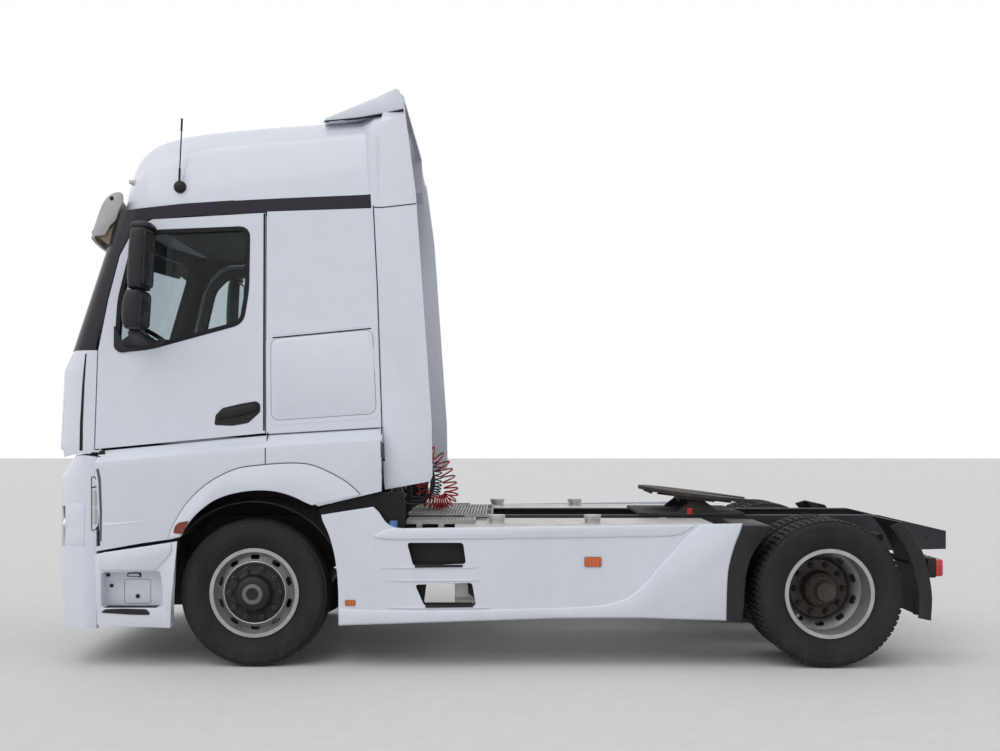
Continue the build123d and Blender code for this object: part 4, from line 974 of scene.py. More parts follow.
def front_patch(name, outline, cast, proud, thick, rows=1):
    """A thin plate that follows a front surface: a closed outline of (y, z), filled by strips."""
    shape = bmesh.new()
    shape.faces.new([shape.verts.new(Vector((0, y, z))) for y, z in outline])
    bmesh.ops.triangulate(shape, faces=shape.faces)
    for _ in range(rows):
        bmesh.ops.subdivide_edges(shape, edges=[e for e in shape.edges if e.calc_length() > 0.06],
            cuts=1)
        bmesh.ops.triangulate(shape, faces=shape.faces)
    for v in shape.verts:
        v.co = on_front(cast, v.co.y, v.co.z, proud)
    bmesh.ops.recalc_face_normals(shape, faces=shape.faces)
    return walled(as_piece(name, shape), thick, 0)


# --- Cab sides ---

window_outline = ((-0.924, 2.128), (-0.904, 2.464), (-0.823, 2.800), (-0.703, 2.918),
    (-0.051, 2.944), (-0.057, 2.531), (-0.092, 2.318), (-0.703, 2.150))
window_corner = 0.060
handle_outline = ((-0.270, 1.624), (-0.262, 1.690), (-0.216, 1.738), (-0.090, 1.768),
    (0.012, 1.785), (0.039, 1.765), (0.039, 1.711), (-0.042, 1.637), (-0.150, 1.618))


def window_seal(hand, side):
    """The black rubber round the side window, inside and outside."""
    ring = rounded(window_outline, window_corner, 6)
    settle(frame_strip(f"window_seal_{hand}", ring, 0.020, 0.010, -0.030, 0.0035,
        on_cab_side(side)), f"door_{hand}", RUBBER_SEAL)
    settle(frame_strip(f"window_trim_{hand}", ring, 0.060, 0.004, -0.066, -0.056,
        on_cab_side(side), 0.003), f"door_{hand}", CABIN_PLASTIC)


def door_handle(hand, side):
    """The dark handle recess with its pull and lock."""
    ring = rounded(handle_outline, 0.013, 4)
    place = on_cab_side(side)
    settle(slab(f"handle_dish_{hand}", ring, -0.004, 0.003, place, 0.0025),
        f"door_{hand}", MOULDED_BLACK)
    pull = rounded(((-0.250, 1.665), (-0.232, 1.722), (-0.010, 1.768), (0.022, 1.752),
        (0.018, 1.722), (-0.120, 1.684)), 0.014, 4)
    settle(slab(f"handle_pull_{hand}", pull, 0.004, 0.016, place, 0.005), f"door_{hand}",
        MOULDED_BLACK, 50)
    settle(slab(f"handle_lock_{hand}", [(-0.195 + 0.013 * cos(a * pi / 8),
        1.652 + 0.013 * sin(a * pi / 8)) for a in range(16)], 0.0, 0.007, place, 0.0015),
        f"door_{hand}", MOULDED_BLACK)


def door_inside(hand, side):
    """The trim of the door below its window."""
    outline = rounded(((-1.040, 1.500), (0.050, 1.605), (0.050, 2.290), (-0.703, 2.100),
        (-0.900, 2.085), (-1.030, 2.085)), 0.03, 3)
    settle(slab(f"door_trim_{hand}", outline, -0.075, -0.058, on_cab_side(side), 0.006),
        f"door_{hand}", CABIN_PLASTIC)


def cab_lining():
    """Grey trim on the walls, ceiling and floor, as seen through the glass."""
    parts = []
    inner = cab_half_width - 0.062
    for side in SIDES.values():
        shape = bmesh.new()
        add_prism(shape, ((0.095, 1.66), (0.780, 1.66), (0.740, 3.075), (0.095, 3.045)),
                  inner - 0.030, inner - 0.026, on_side(side))
        parts.append(mesh_piece("side_trim", shape))
    shape = bmesh.new()
    block(shape, 0.734, 0.742, -inner + 0.03, inner - 0.03, 1.56, 3.06)
    block(shape, -0.820, 0.735, -inner + 0.04, inner - 0.04, 3.046, 3.054)
    block(shape, -1.055, 0.740, -1.04, 1.04, 1.541, 1.549)
    parts.append(mesh_piece("flat_trim", shape))
    settle(joined("cab_lining", parts), "cab", CABIN_PLASTIC)


def padded_block(name, rows, place, material):
    """A cushion from cross-sections: each row is (along, half width, low, high)."""
    rings = [[place(along, across, up) for across, up in ((-half, low), (-half * 0.55, low),
        (half * 0.55, low), (half, low), (half, high), (half * 0.55, high), (-half * 0.55, high),
        (-half, high))] for along, half, low, high in rows]
    return settle(subdivided(lofted(name, rings)), "cab", material, 180)


driver_y = cab_half_width / 2 - 0.015


def seats_and_bunk():
    """Two seats on their pedestals and the bunk with its mattress."""
    for y in (-driver_y, driver_y):
        label = "driver" if y < 0 else "passenger"

        def flat(along, across, up, y=y):
            return Vector((at(along), y + across, up))

        def leaning(along, across, up, y=y):
            return Vector((at(-0.150 + 0.20 * (along - 1.95) + up), y + across, along))
        padded_block(f"{label}_cushion", ((-0.595, 0.225, 1.862, 1.940),
            (-0.560, 0.255, 1.855, 1.995), (-0.400, 0.258, 1.855, 1.985),
            (-0.200, 0.255, 1.855, 1.975), (-0.110, 0.235, 1.862, 1.960)), flat, SEAT_CLOTH)
        padded_block(f"{label}_back", ((1.905, 0.225, -0.020, 0.070),
            (1.960, 0.245, -0.045, 0.080), (2.150, 0.255, -0.045, 0.085),
            (2.380, 0.245, -0.030, 0.080), (2.470, 0.180, -0.020, 0.060)), leaning, SEAT_CLOTH)
        padded_block(f"{label}_headrest", ((2.480, 0.110, -0.025, 0.050),
            (2.510, 0.135, -0.045, 0.060), (2.620, 0.130, -0.045, 0.060),
            (2.680, 0.095, -0.025, 0.040)), leaning, SEAT_CLOTH)
        for sign in (-1, 1):
            padded_block(f"{label}_bolster_{'in' if sign > 0 else 'out'}", (
                (2.000, 0.030, -0.085, -0.030), (2.080, 0.038, -0.105, -0.020),
                (2.280, 0.038, -0.095, -0.015), (2.360, 0.026, -0.060, -0.015)),
                lambda along, across, up, y=y, sign=sign:
                leaning(along, sign * 0.215 + across, up, y), SEAT_CLOTH)
        settle(block_piece(f"{label}_pedestal", (-0.500, -0.120, y - 0.170, y + 0.170, 1.541, 1.70),
            (-0.540, -0.100, y - 0.230, y + 0.230, 1.76, 1.852), (-0.440, -0.180, y - 0.120,
            y + 0.120, 1.68, 1.78), bevel=0.02), "cab", CABIN_PLASTIC)
    half = cab_half_width - 0.115

    def lying(along, across, up):
        return Vector((at(along), across, up))
    padded_block("bunk_mattress", ((0.195, half - 0.03, 1.985, 2.075),
        (0.230, half, 1.985, 2.095), (0.480, half, 1.985, 2.098), (0.700, half, 1.985, 2.095),
        (0.730, half - 0.03, 1.985, 2.075)), lying, BUNK_CLOTH)
    stand = block_piece("bunk_box", (0.212, 0.728, -half + 0.04, half - 0.04, 1.552, 1.975),
        bevel=0.015)
    settle(stand, "cab", CABIN_PLASTIC)
    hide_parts("seats_and_bunk")


both_sides(window_seal, door_handle, door_inside)
cab_lining()
seats_and_bunk()


# --- Fenders, arch liners and step boxes ---

def smooth_line(points, steps=4):
    """A smooth line through points, as a Catmull-Rom spline."""
    ends = [Vector(p) for p in points]
    held = [2 * ends[0] - ends[1], *ends, 2 * ends[-1] - ends[-2]]
    out = [ends[0]]
    for a, b, c, d in zip(held, held[1:], held[2:], held[3:]):
        for step in range(1, steps + 1):
            t = step / steps
            out.append(0.5 * (2 * b + (c - a) * t + (2 * a - 5 * b + 4 * c - d) * t ** 2
                              + (3 * b - a - 3 * c + d) * t ** 3))
    return out


arch_edge = smooth_line(((-0.476, 0.878), (-0.430, 0.955), (-0.376, 1.022), (-0.318, 1.074),
    (-0.256, 1.118), (-0.178, 1.152), (-0.098, 1.173), (-0.010, 1.186), (0.069, 1.189),
    (0.130, 1.185), (0.190, 1.175), (0.280, 1.146), (0.350, 1.112), (0.400, 1.090)), 3)
flare_edge = smooth_line(((-0.556, 0.872), (-0.517, 0.965), (-0.440, 1.090), (-0.346, 1.190),
    (-0.230, 1.272), (-0.090, 1.333), (0.055, 1.354), (0.200, 1.366), (0.321, 1.366),
    (0.410, 1.352), (0.509, 1.311), (0.600, 1.262), (0.668, 1.212), (0.722, 1.158)), 4)


def wheel_arch_flare(hand, side):
    """The raised flare round the wheel arch, with its reflector and its seam."""
    y = lower_half_width
    settle(slab(f"arch_flare_{hand}", [*arch_edge, *reversed(flare_edge)], y - 0.010,
        y + 0.008, on_side(side), 0.005), "cab", PAINT, 40)
    above_edge = [p + Vector((0, 0.007)) for p in reversed(flare_edge)]
    settle(slab(f"flare_seam_{hand}", [*flare_edge, *above_edge], y - 0.004, y + 0.003,
        on_side(side), 0), "cab", SHADOW_GREY)
    settle(slab(f"flare_reflector_{hand}", rounded(((-0.521, 0.906), (-0.506, 0.957),
        (-0.478, 0.978), (-0.415, 0.988), (-0.449, 0.913), (-0.464, 0.899)), 0.012, 3), y + 0.006,
        y + 0.0115, on_side(side), 0.002), "cab", LENS_BROWN_RED)


arch_radius = 0.617


def arch_liner(hand, side):
    """The black liner over the front wheel and the mudguard piece behind it."""
    first, last, steps = -20, 141, 28
    angles = [radians(first + (last - first) * step / steps) for step in range(steps + 1)]
    settle(lofted(f"arch_liner_{hand}", [[(at(radius * cos(angle)), side * y,
        axle_z + radius * sin(angle)) for y, radius in ((1.188, arch_radius - 0.006),
        (1.188, arch_radius), (0.640, arch_radius),
        (0.640, arch_radius - 0.006))] for angle in angles]), "chassis", MOULDED_BLACK)
    outline = rounded(((0.430, 1.060), (0.560, 1.115), (0.866, 1.176), (1.010, 1.176),
        (1.010, 0.910), (0.600, 0.880), (0.500, 0.930)), 0.02, 3)
    settle(slab(f"rear_mudguard_{hand}", outline, 1.150, 1.192, on_side(side), 0.006),
        "chassis", RUBBER_SEAL)
    settle(slab(f"step_gap_filler_{hand}", ((-1.040, 0.735), (-0.500, 0.790), (-0.500, 0.905),
        (-1.040, 0.835)), 1.165, 1.175, on_side(side), 0.002), "chassis", RUBBER_SEAL)


def step_box_fittings(hand, side):
    """Ledge, inner panel, hatch, lamp, plugs and tread of the step box."""
    y = lower_half_width
    inside = y - 0.105
    body = "chassis"
    settle(slab(f"step_ledge_{hand}", ((-1.004, 0.658), (-0.640, 0.658), (-0.534, 0.772),
        (-0.530, 0.838), (-0.620, 0.830), (-0.990, 0.776), (-1.004, 0.760)), y - 0.012, y + 0.010,
        on_side(side), 0.008), body, PAINT, 60)
    settle(slab(f"step_inner_panel_{hand}", rounded(((-1.036, 0.376), (-0.572, 0.376),
        (-0.572, 0.690), (-1.036, 0.690)), 0.01, 2), inside - 0.006, inside, on_side(side), 0.002),
        body, PAINT)
    settle(frame_strip(f"step_hatch_seam_{hand}", rounded(((-0.878, 0.424), (-0.702, 0.424),
        (-0.702, 0.586), (-0.878, 0.586)), 0.020, 5), 0.002, 0.001, inside - 0.002, inside + 0.0015,
        on_side(side), 0.0005), body, SEAM_GREY)
    for index, (x, z, radius) in enumerate(((-0.987, 0.6146, 0.013), (-0.965, 0.543, 0.013),
            (-0.789, 0.472, 0.015))):
        settle(turned_piece(f"step_plug_{hand}_{index}", ((0, side * 0.009),
            (radius * 0.55, side * 0.009), (radius * 0.62, side * 0.006),
            (radius * 0.9, side * 0.006), (radius, 0.0), (radius, -side * 0.004)), Vector((at(x),
            side * inside, z)), 20), body, MOULDED_BLACK, 40)
    settle(slab(f"step_lamp_case_{hand}", rounded(((-0.862, 0.604), (-0.764, 0.600),
        (-0.768, 0.632), (-0.856, 0.630)), 0.006, 3), inside - 0.002, inside + 0.006, on_side(side),
        0.002), body, MOULDED_BLACK)
    settle(slab(f"step_lamp_{hand}", rounded(((-0.852, 0.608), (-0.774, 0.606),
        (-0.778, 0.624), (-0.848, 0.624)), 0.005, 3), inside + 0.004, inside + 0.009, on_side(side),
        0.002), body, LENS_CLEAR)
    settle(slab(f"step_lip_{hand}", rounded(((-0.996, 0.384), (-0.972, 0.400), (-0.860, 0.404),
        (-0.700, 0.400), (-0.676, 0.376), (-0.680, 0.362), (-0.800, 0.364), (-0.990, 0.376)), 0.01,
        3), y - 0.006, y + 0.005, on_side(side), 0.003), body, MOULDED_BLACK)
    block_row(f"step_tread_{hand}", (-0.985, -0.640, side * (y - 0.014) - 0.004,
        side * (y - 0.014) + 0.004, 0.402, 0.411), 6, (0, -side * 0.016, 0), MOULDED_BLACK)


both_sides(wheel_arch_flare, arch_liner, step_box_fittings)


# --- Skirts ---

skirt_outline = (*smooth_line(((0.577, 0.292), (0.5745, 0.534), (0.555, 0.732), (0.516, 0.886),
    (0.470, 0.990)), 4), (0.462, 1.026), *smooth_line(((0.806, 1.080), (0.841, 1.049),
    (0.870, 1.006), (0.896, 0.974), (0.940, 0.947), (0.995, 0.938), (1.060, 0.938)), 3),
    (2.048, 0.952), (3.262, 0.969), *smooth_line(((3.248, 0.919), (3.208, 0.818), (3.174, 0.696),
    (3.160, 0.574), (3.153, 0.324)), 3), (2.578, 0.342), (2.048, 0.341))
skirt_openings = {"upper": ((1.033, 0.841), (1.405, 0.841), (1.424, 0.701), (1.073, 0.688)),
    "lower": ((1.086, 0.562), (1.464, 0.575), (1.491, 0.423), (1.146, 0.423))}
skirt_face = skirt_y - 0.013


def plate_with_openings(name, outline, openings, near, far, place, bevel):
    """A plate of an outline with openings cut through it."""
    shape = bmesh.new()
    edges = []
    for ring in (outline, *openings):
        verts = [shape.verts.new(place(*point, near)) for point in ring]
        edges += [shape.edges.new((verts[i - 1], verts[i])) for i in range(len(verts))]
    bmesh.ops.triangle_fill(shape, edges=edges, use_beauty=True)
    bmesh.ops.dissolve_limit(shape, angle_limit=radians(0.5), verts=shape.verts, edges=shape.edges)
    grown = bmesh.ops.extrude_face_region(shape, geom=shape.faces[:])
    shift = place(0, 0, far) - place(0, 0, near)
    bmesh.ops.translate(shape, vec=shift,
        verts=[v for v in grown["geom"] if isinstance(v, bmesh.types.BMVert)])
    return bevelled(mesh_piece(name, shape), bevel, 2, 50)


def side_skirt(hand, side):
    """The white skirt with its boot steps, ledges and bands."""
    place = on_side(side)
    rings = {label: rounded(points, 0.022, 4) for label, points in skirt_openings.items()}
    settle(plate_with_openings(f"skirt_panel_{hand}", [tuple(p) for p in skirt_outline],
        rings.values(), skirt_y - 0.030, skirt_face, place, 0.004), "chassis", PAINT, 0,
        (f"side_skirt_{hand}",))
    low_band = ((0.580, 0.296), (2.048, 0.345), (2.578, 0.346), (3.149, 0.328), (3.156, 0.574),
        (3.170, 0.696), (3.204, 0.818), (3.244, 0.919), (3.256, 0.965), (2.985, 0.962),
        *smooth_line(((2.897, 0.890), (2.720, 0.694), (2.579, 0.540), (2.413, 0.446),
        (2.048, 0.411), (0.987, 0.393), (0.578, 0.405)), 3))
    top_band = ((0.800, 0.880), (0.870, 0.922), (0.940, 0.9425), (0.995, 0.935), (2.048, 0.949),
        (2.950, 0.960), (2.860, 0.900), (2.774, 0.884), (2.048, 0.872), (0.995, 0.860),
        (0.880, 0.863))
    for label, outline in (("low", low_band), ("top", top_band)):
        settle(slab(f"skirt_band_{label}_{hand}", outline, skirt_y - 0.024, skirt_y - 0.002,
            place, 0.010), "chassis", PAINT, 60)
    for label, x0, x1, z in (("a", 0.850, 1.505, 0.676), ("b", 0.880, 1.520, 0.590),
            ("c", 0.900, 1.590, 0.409)):
        settle(slab(f"skirt_ledge_{label}_{hand}", ((x0, z), (x0 + 0.160, z + 0.009),
            (x1 - 0.080, z + 0.009), (x1, z + 0.002), (x1 - 0.080, z - 0.006),
            (x0 + 0.160, z - 0.006)), skirt_y - 0.020, skirt_y - 0.006, place, 0.004), "chassis",
            PAINT, 60)
    for label, ring in rings.items():
        settle(frame_strip(f"skirt_pocket_{label}_{hand}", ring, 0.006, 0.0, 1.140,
            skirt_face - 0.004, place, 0.0), "chassis", MOULDED_BLACK)
    settle(slab(f"skirt_pocket_back_{hand}", offset_outline(rings["upper"], 0.005), 1.134,
        1.142, place, 0.0), "chassis", MOULDED_BLACK)
    for index, outline in enumerate((
            ((1.060, 0.575), (1.158, 0.575), (1.135, 0.400), (1.060, 0.400)),
            ((1.431, 0.580), (1.437, 0.491), (1.465, 0.469), (1.525, 0.452), (1.525, 0.580)))):
        settle(slab(f"skirt_screen_{index}_{hand}", outline, 1.134, 1.142, place, 0.0),
            "chassis", MOULDED_BLACK)


def wheel_guard(hand, side):
    """The black guard between the skirt and the drive wheels."""
    outline = (*smooth_line(((3.120, 0.322), (3.128, 0.574), (3.142, 0.696), (3.176, 0.818),
        (3.216, 0.919), (3.235, 0.958)), 3), *smooth_line(((3.462, 0.953), (3.392, 0.857),
        (3.338, 0.776), (3.300, 0.680), (3.281, 0.570), (3.266, 0.356), (3.244, 0.322)), 3))
    settle(slab(f"wheel_guard_{hand}", outline, 0.640, skirt_y - 0.016, on_side(side), 0.014),
        "chassis", MOULDED_BLACK, 40)


def skirt_fittings(hand, side):
    """Treads in the boot steps and marker lamps."""
    body = "chassis"
    for label, x0, x1, z in (("upper", 1.082, 1.400, 0.690), ("lower", 1.152, 1.470, 0.424)):
        block_row(f"skirt_tread_{label}_{hand}", (x0 + 0.004, x1 - 0.006,
            side * (skirt_y - 0.020) - 0.004, side * (skirt_y - 0.020) + 0.004, z - 0.003,
            z + 0.008), 6, (0, -side * 0.016, 0), MOULDED_BLACK)
        settle(slab(f"skirt_lip_{label}_{hand}", rounded(((x0 + 0.002, z - 0.014),
            (x1 + 0.004, z - 0.010), (x1 + 0.002, z + 0.006), (x0 + 0.002, z + 0.004)), 0.006, 2),
            skirt_y - 0.016, skirt_y - 0.001, on_side(side), 0.002), body, MOULDED_BLACK)
    face = skirt_face
    for label, x, z, w, h in (("front", 0.655, 0.442, 0.062, 0.034),
            ("middle", 2.267, 0.714, 0.106, 0.062)):
        settle(slab(f"marker_base_{label}_{hand}", rounded(((x - w / 2 - 0.004,
            z - h / 2 - 0.003), (x + w / 2 + 0.004, z - h / 2 - 0.003), (x + w / 2 + 0.004,
            z + h / 2 + 0.003), (x - w / 2 - 0.004, z + h / 2 + 0.003)), 0.010, 3), face - 0.004,
            face + 0.003, on_side(side), 0.001), body, SHADOW_GREY)
        settle(slab(f"marker_lens_{label}_{hand}", rounded(((x - w / 2, z - h / 2),
            (x + w / 2, z - h / 2), (x + w / 2, z + h / 2), (x - w / 2, z + h / 2)), 0.008, 3),
            face, face + 0.010, on_side(side), 0.004), body, LENS_ORANGE)


both_sides(side_skirt, wheel_guard, skirt_fittings)


# --- Softened body panels ---

def panel_shape(node):
    """The merged surface of a node, with its flat faces joined up."""
    shape = bmesh.new()
    shape.from_mesh(nodes[node].data)
    bmesh.ops.remove_doubles(shape, verts=shape.verts, dist=2e-5)
    bmesh.ops.dissolve_limit(shape, angle_limit=radians(0.6), verts=shape.verts, edges=shape.edges)
    return shape


def softened(name, shape, width, body, material, replaced):
    """A panel with rounded edges and smooth shading that stands for its node."""
    settle(bevelled(as_piece(name, shape), width, 3, 22), body, material, 32, (replaced,))


for hand in SIDES:
    softened(f"soft_fender_{hand}", panel_shape(f"fender_{hand}"), 0.010, "cab", PAINT,
             f"fender_{hand}")
    extender = panel_shape(f"side_extender_{hand}")
    for v in extender.verts:
        if v.co.z < 1.35:
            v.co.z += 0.13 * max(0.0, v.co.x - at(0.87))
    softened(f"soft_extender_{hand}", extender, 0.010, "cab", PAINT,
             f"side_extender_{hand}")
    box = panel_shape(f"step_box_{hand}")
    for v in box.verts:
        if v.co.x > at(-0.565) and abs(v.co.y) > 1.20:
            v.co.x += 0.034 * max(0.0, v.co.z - 0.45) / 0.40
    softened(f"soft_step_box_{hand}", box, 0.006, "chassis", PAINT, f"step_box_{hand}")
for name, node, width, body, material, slot in (("soft_bumper", "bumper", 0.008, "chassis", PAINT,
        "paint"), ("soft_flap", "front_flap", 0.006, "front_flap", PAINT, "paint"), ("soft_visor",
        "sun_visor", 0.012, "cab", VISOR_AGED, "visor")):
    softened(name, panel_shape(node), width, body, material, node)


# --- Ribbons ---

def resampled(points, step):
    """A polyline with points at about every step."""
    out = [Vector(points[0])]
    for a, b in zip(points, points[1:]):
        a, b = Vector(a), Vector(b)
        count = max(1, round((b - a).length / step))
        out += [a.lerp(b, k / count) for k in range(1, count + 1)]
    return out


def ribbon(name, side, line, widths, cast, proud=0.0015, depth=0.004):
    """A thin strip that lies on the body side along a line of (station, height)."""
    if isinstance(widths, float):
        widths = [widths] * len(line)
    points = resampled([(x, z, w) for (x, z), w in zip(line, widths)], 0.05)
    rings = []
    last = side * lower_half_width
    out, back = Vector((0, side * proud, 0)), Vector((0, -side * depth, 0))
    for i, here in enumerate(points):
        before, after = points[max(i - 1, 0)], points[min(i + 1, len(points) - 1)]
        run = Vector((after.x - before.x, after.y - before.y)).normalized()
        across = Vector((-run.y, run.x)) * (here.z / 2)
        row = []
        for sign in (-1, 1):
            x, z = here.x + sign * across.x, here.y + sign * across.y
            place = cast((at(x), side * 3.0, z), (0, -side, 0))
            if place is None:
                place = Vector((at(x), last, z))
            last = place.y
            row.append(place)
        low, high = row
        rings.append((low + out, high + out, high + back, low + back))
    return lofted(name, rings)


CAB_SIDE = surface_of("cab_shell", "roof_band", "cab_roof", *[
    node + end for node in ("door_", "fender_", "side_extender_", "locker_lid_")
    for end in SIDES])
BODY_SIDE = surface_of("front_flap", "cab_shell", "bumper", *[
    node + end for node in ("step_box_", "side_skirt_", "headlamp_", "fender_")
    for end in SIDES])


# --- Roof ---

roof_rows = (   # station, low edge, its half width, shoulder height, its half width, top, its half
    (-1.004, 3.052, 0.640, 3.150, 0.600, 3.235, 0.500),
    (-0.990, 3.060, 0.760, 3.215, 0.740, 3.335, 0.590),
    (-0.930, 3.066, 0.960, 3.215, 0.930, 3.450, 0.740),
    (-0.800, 3.078, 1.085, 3.320, 1.060, 3.585, 0.840),
    (-0.545, 3.106, 1.128, 3.462, 1.085, 3.655, 0.860),
    (-0.288, 3.128, 1.134, 3.510, 1.085, 3.684, 0.870),
    (0.250, 3.156, 1.134, 3.556, 1.085, 3.726, 0.880),
    (0.798, 3.176, 1.134, 3.600, 1.085, 3.758, 0.890),
)


def smooth_roof():
    """The high roof as one smooth shell, open below and at its rear end."""
    rings = []
    for x, z0, w0, z1, w1, z2, w2 in roof_rows:
        half = ((w0, z0), (w0, z0 + 0.004), (w0 - 0.3 * (w0 - w1), z0 + 0.45 * (z1 - z0)),
            (w1, z1 - 0.045), (w1 - 0.010, z1 - 0.006), (w1 - 0.045, z1 + 0.030),
            (w2 + 0.060, z2 - 0.055), (w2 - 0.010, z2 - 0.010), (w2 - 0.12, z2 + 0.002),
            (w2 * 0.45, z2 + 0.008))
        rings.append([(at(x), -w, z) for w, z in half] + [(at(x), w, z) for w, z in reversed(half)])
    roof = lofted("smooth_roof", rings, False)
    shape = bmesh.new()
    shape.from_mesh(roof.data)
    below_shoulder = 3.2
    under = [f for f in shape.faces if abs(f.normal.z) > 0.99 and f.calc_area() > 0.02
             and all(v.co.z < below_shoulder for v in f.verts)]
    bmesh.ops.delete(shape, geom=under, context="FACES")
    shape.to_mesh(roof.data)
    shape.free()
    settle(walled(subdivided(roof), 0.012, -1), "cab", PAINT, 40, ("cab_roof",))


def roof_front():
    """The rounded panel that closes the roof above the visor."""
    rings = []
    for x, half, low, high in ((-1.0035, 0.560, 3.080, 3.190), (-1.0045, 0.610, 3.060, 3.215),
            (-0.990, 0.700, 3.056, 3.290)):
        rings.append([(at(x), w, z) for w, z in (
            (-half, low), (half, low), (half - 0.02, (low + high) / 2), (half - 0.09, high),
            (-half + 0.09, high), (-half + 0.02, (low + high) / 2))])
    settle(bevelled(lofted("roof_front_panel", rings), 0.010, 3, 20), "cab", PAINT, 40)


def antenna():
    """The antenna: round foot and a thin mast with a thick base and tip."""
    foot = Vector((at(-0.509), -1.122, 3.230))
    settle(turned_piece("antenna_foot", ((0, -0.028), (0.020, -0.028), (0.034, -0.020),
        (0.041, -0.008), (0.042, 0.006)), foot, 32), "cab", MOULDED_BLACK, 40)
    for label, points, radius, kind in (("mast", ((0, -0.018, 0.010), (0.001, -0.020, 0.060),
            (0.010, -0.016, 0.260), (0.017, -0.012, 0.440)), 0.0045, "NURBS"), ("sleeve", (
            (0.0002, -0.018, 0.020), (0.004, -0.0190, 0.120)), 0.0075, "POLY"), ("tip", (
            (0.0145, -0.0145, 0.375), (0.017, -0.012, 0.458)), 0.007, "POLY")):
        settle(pipe(f"antenna_{label}", [foot + Vector(p) for p in points], radius, kind), "cab",
            MOULDED_BLACK, 180)


smooth_roof()
roof_front()
antenna()


# --- Roof spoiler cheeks and extender seams ---

def roof_cheek(hand, side):
    """Fills the shoulder between the roof, its spoiler and the side extender."""
    rows = (((0.745, 1.092, 3.552), (0.738, 1.078, 3.598), (0.722, 1.032, 3.642),
        (0.690, 0.925, 3.718)), ((0.800, 1.1475, 3.572), (0.800, 1.138, 3.608),
        (0.800, 1.072, 3.682), (0.780, 0.960, 3.744)), ((1.021, 1.1475, 3.602),
        (1.018, 1.140, 3.636), (1.006, 1.085, 3.707), (0.992, 0.985, 3.784)))
    rings = []
    for row in rows:
        rings.append([(at(x), side * y, z) for x, y, z in row] + [(at(x), side * (y - 0.022),
            z - 0.024) for x, y, z in reversed(row)])
    settle(bevelled(lofted(f"roof_shoulder_{hand}", rings), 0.004, 2, 40), "cab", PAINT,
        50)
    rings = []
    for z, x, roof_y in ((3.090, 0.799, 1.136), (3.185, 0.780, 1.134), (3.330, 0.757, 1.124),
            (3.450, 0.750, 1.108), (3.530, 0.746, 1.094), (3.572, 0.744, 1.086)):
        rings.append([(at(fx), side * y, z) for fx, y in (
            (x, roof_y + 0.001), (x + 0.012, (roof_y + 1.148) / 2 + 0.006), (x + 0.034, 1.1475),
            (0.840, 1.1485), (0.840, 1.124), (x + 0.012, roof_y - 0.020))])
    settle(bevelled(lofted(f"extender_lip_{hand}", rings), 0.002, 2, 40), "cab", PAINT,
        50)
    outline = ((0.440, 3.700), (0.560, 3.708), (0.690, 3.728), (0.850, 3.756), (0.992, 3.786),
        (0.978, 3.870), (0.956, 3.926), (0.928, 3.9285), (0.800, 3.868), (0.587, 3.781),
        (0.455, 3.728))
    settle(slab(f"spoiler_side_{hand}", outline, 0.880, 1.012, on_side(side), 0.010), "cab",
        PAINT, 35)
    settle(slab(f"spoiler_seam_{hand}", ((0.450, 3.7000), (0.690, 3.7215), (0.850, 3.7485),
        (0.990, 3.7785), (0.990, 3.7865), (0.850, 3.7565), (0.690, 3.7285), (0.450, 3.7060)), 0.990,
        1.0155, on_side(side), 0), "cab", RUBBER_SEAL)


def cab_seams(hand, side):
    """Shut lines on the cab's side, and a painted shadow line in the gap in front of the fender."""
    for label, line, width, cast, body in (
            ("extender", ((0.798, 3.100), (0.825, 2.560), (0.853, 1.720), (0.868, 1.205)), 0.007,
             CAB_SIDE, "cab"),
            ("extender_step", ((0.800, 3.088), (0.860, 3.087), (1.085, 3.112)), 0.007, CAB_SIDE,
             "cab"),
            ("fender_rear", ((0.0905, 1.575), (0.0905, 1.366)), 0.006, CAB_SIDE, "cab")):
        settle(ribbon(f"seam_{label}_{hand}", side, line, width, cast), body, RUBBER_SEAL)
    settle(ribbon(f"seam_flap_{hand}", side, ((-1.166, 1.452), (-1.163, 1.640),
        (-1.150, 1.900), (-1.134, 2.104)), (0.022, 0.020, 0.015, 0.010), BODY_SIDE), "cab",
        RUBBER_SEAL)
    settle(slab(f"fender_foot_edge_{hand}", ((-1.036, 0.7835), (-0.500, 0.8790),
        (-0.500, 0.9100), (-1.036, 0.8150)), 1.215, 1.2395, on_side(side), 0.002), "cab", PAINT)
    # The grey strip on the fender's front edge is painted shadow of the gap beside the bumper.
    settle(ribbon(f"fender_front_gap_{hand}", side, ((-1.012, 1.395), (-1.024, 1.330),
        (-1.010, 1.260), (-1.002, 1.050), (-1.004, 0.850)), (0.010, 0.018, 0.018, 0.016, 0.014),
        BODY_SIDE, 0.001), "cab", SHADOW_GREY)


def door_sill(hand, side):
    """The black sill behind the gaps under the door and above the bumper."""
    settle(slab(f"door_sill_{hand}", ((-1.050, 1.425), (0.070, 1.535), (0.070, 1.600),
        (-1.050, 1.490)), 1.060, 1.068, on_side(side), 0.002), "cab", RUBBER_SEAL)
    settle(block_piece(f"corner_filler_{hand}", (-1.150, -1.000, *sorted(
        (side * 1.060, side * 1.125)), 1.405, 1.443), bevel=0.004), "cab", MOULDED_BLACK)


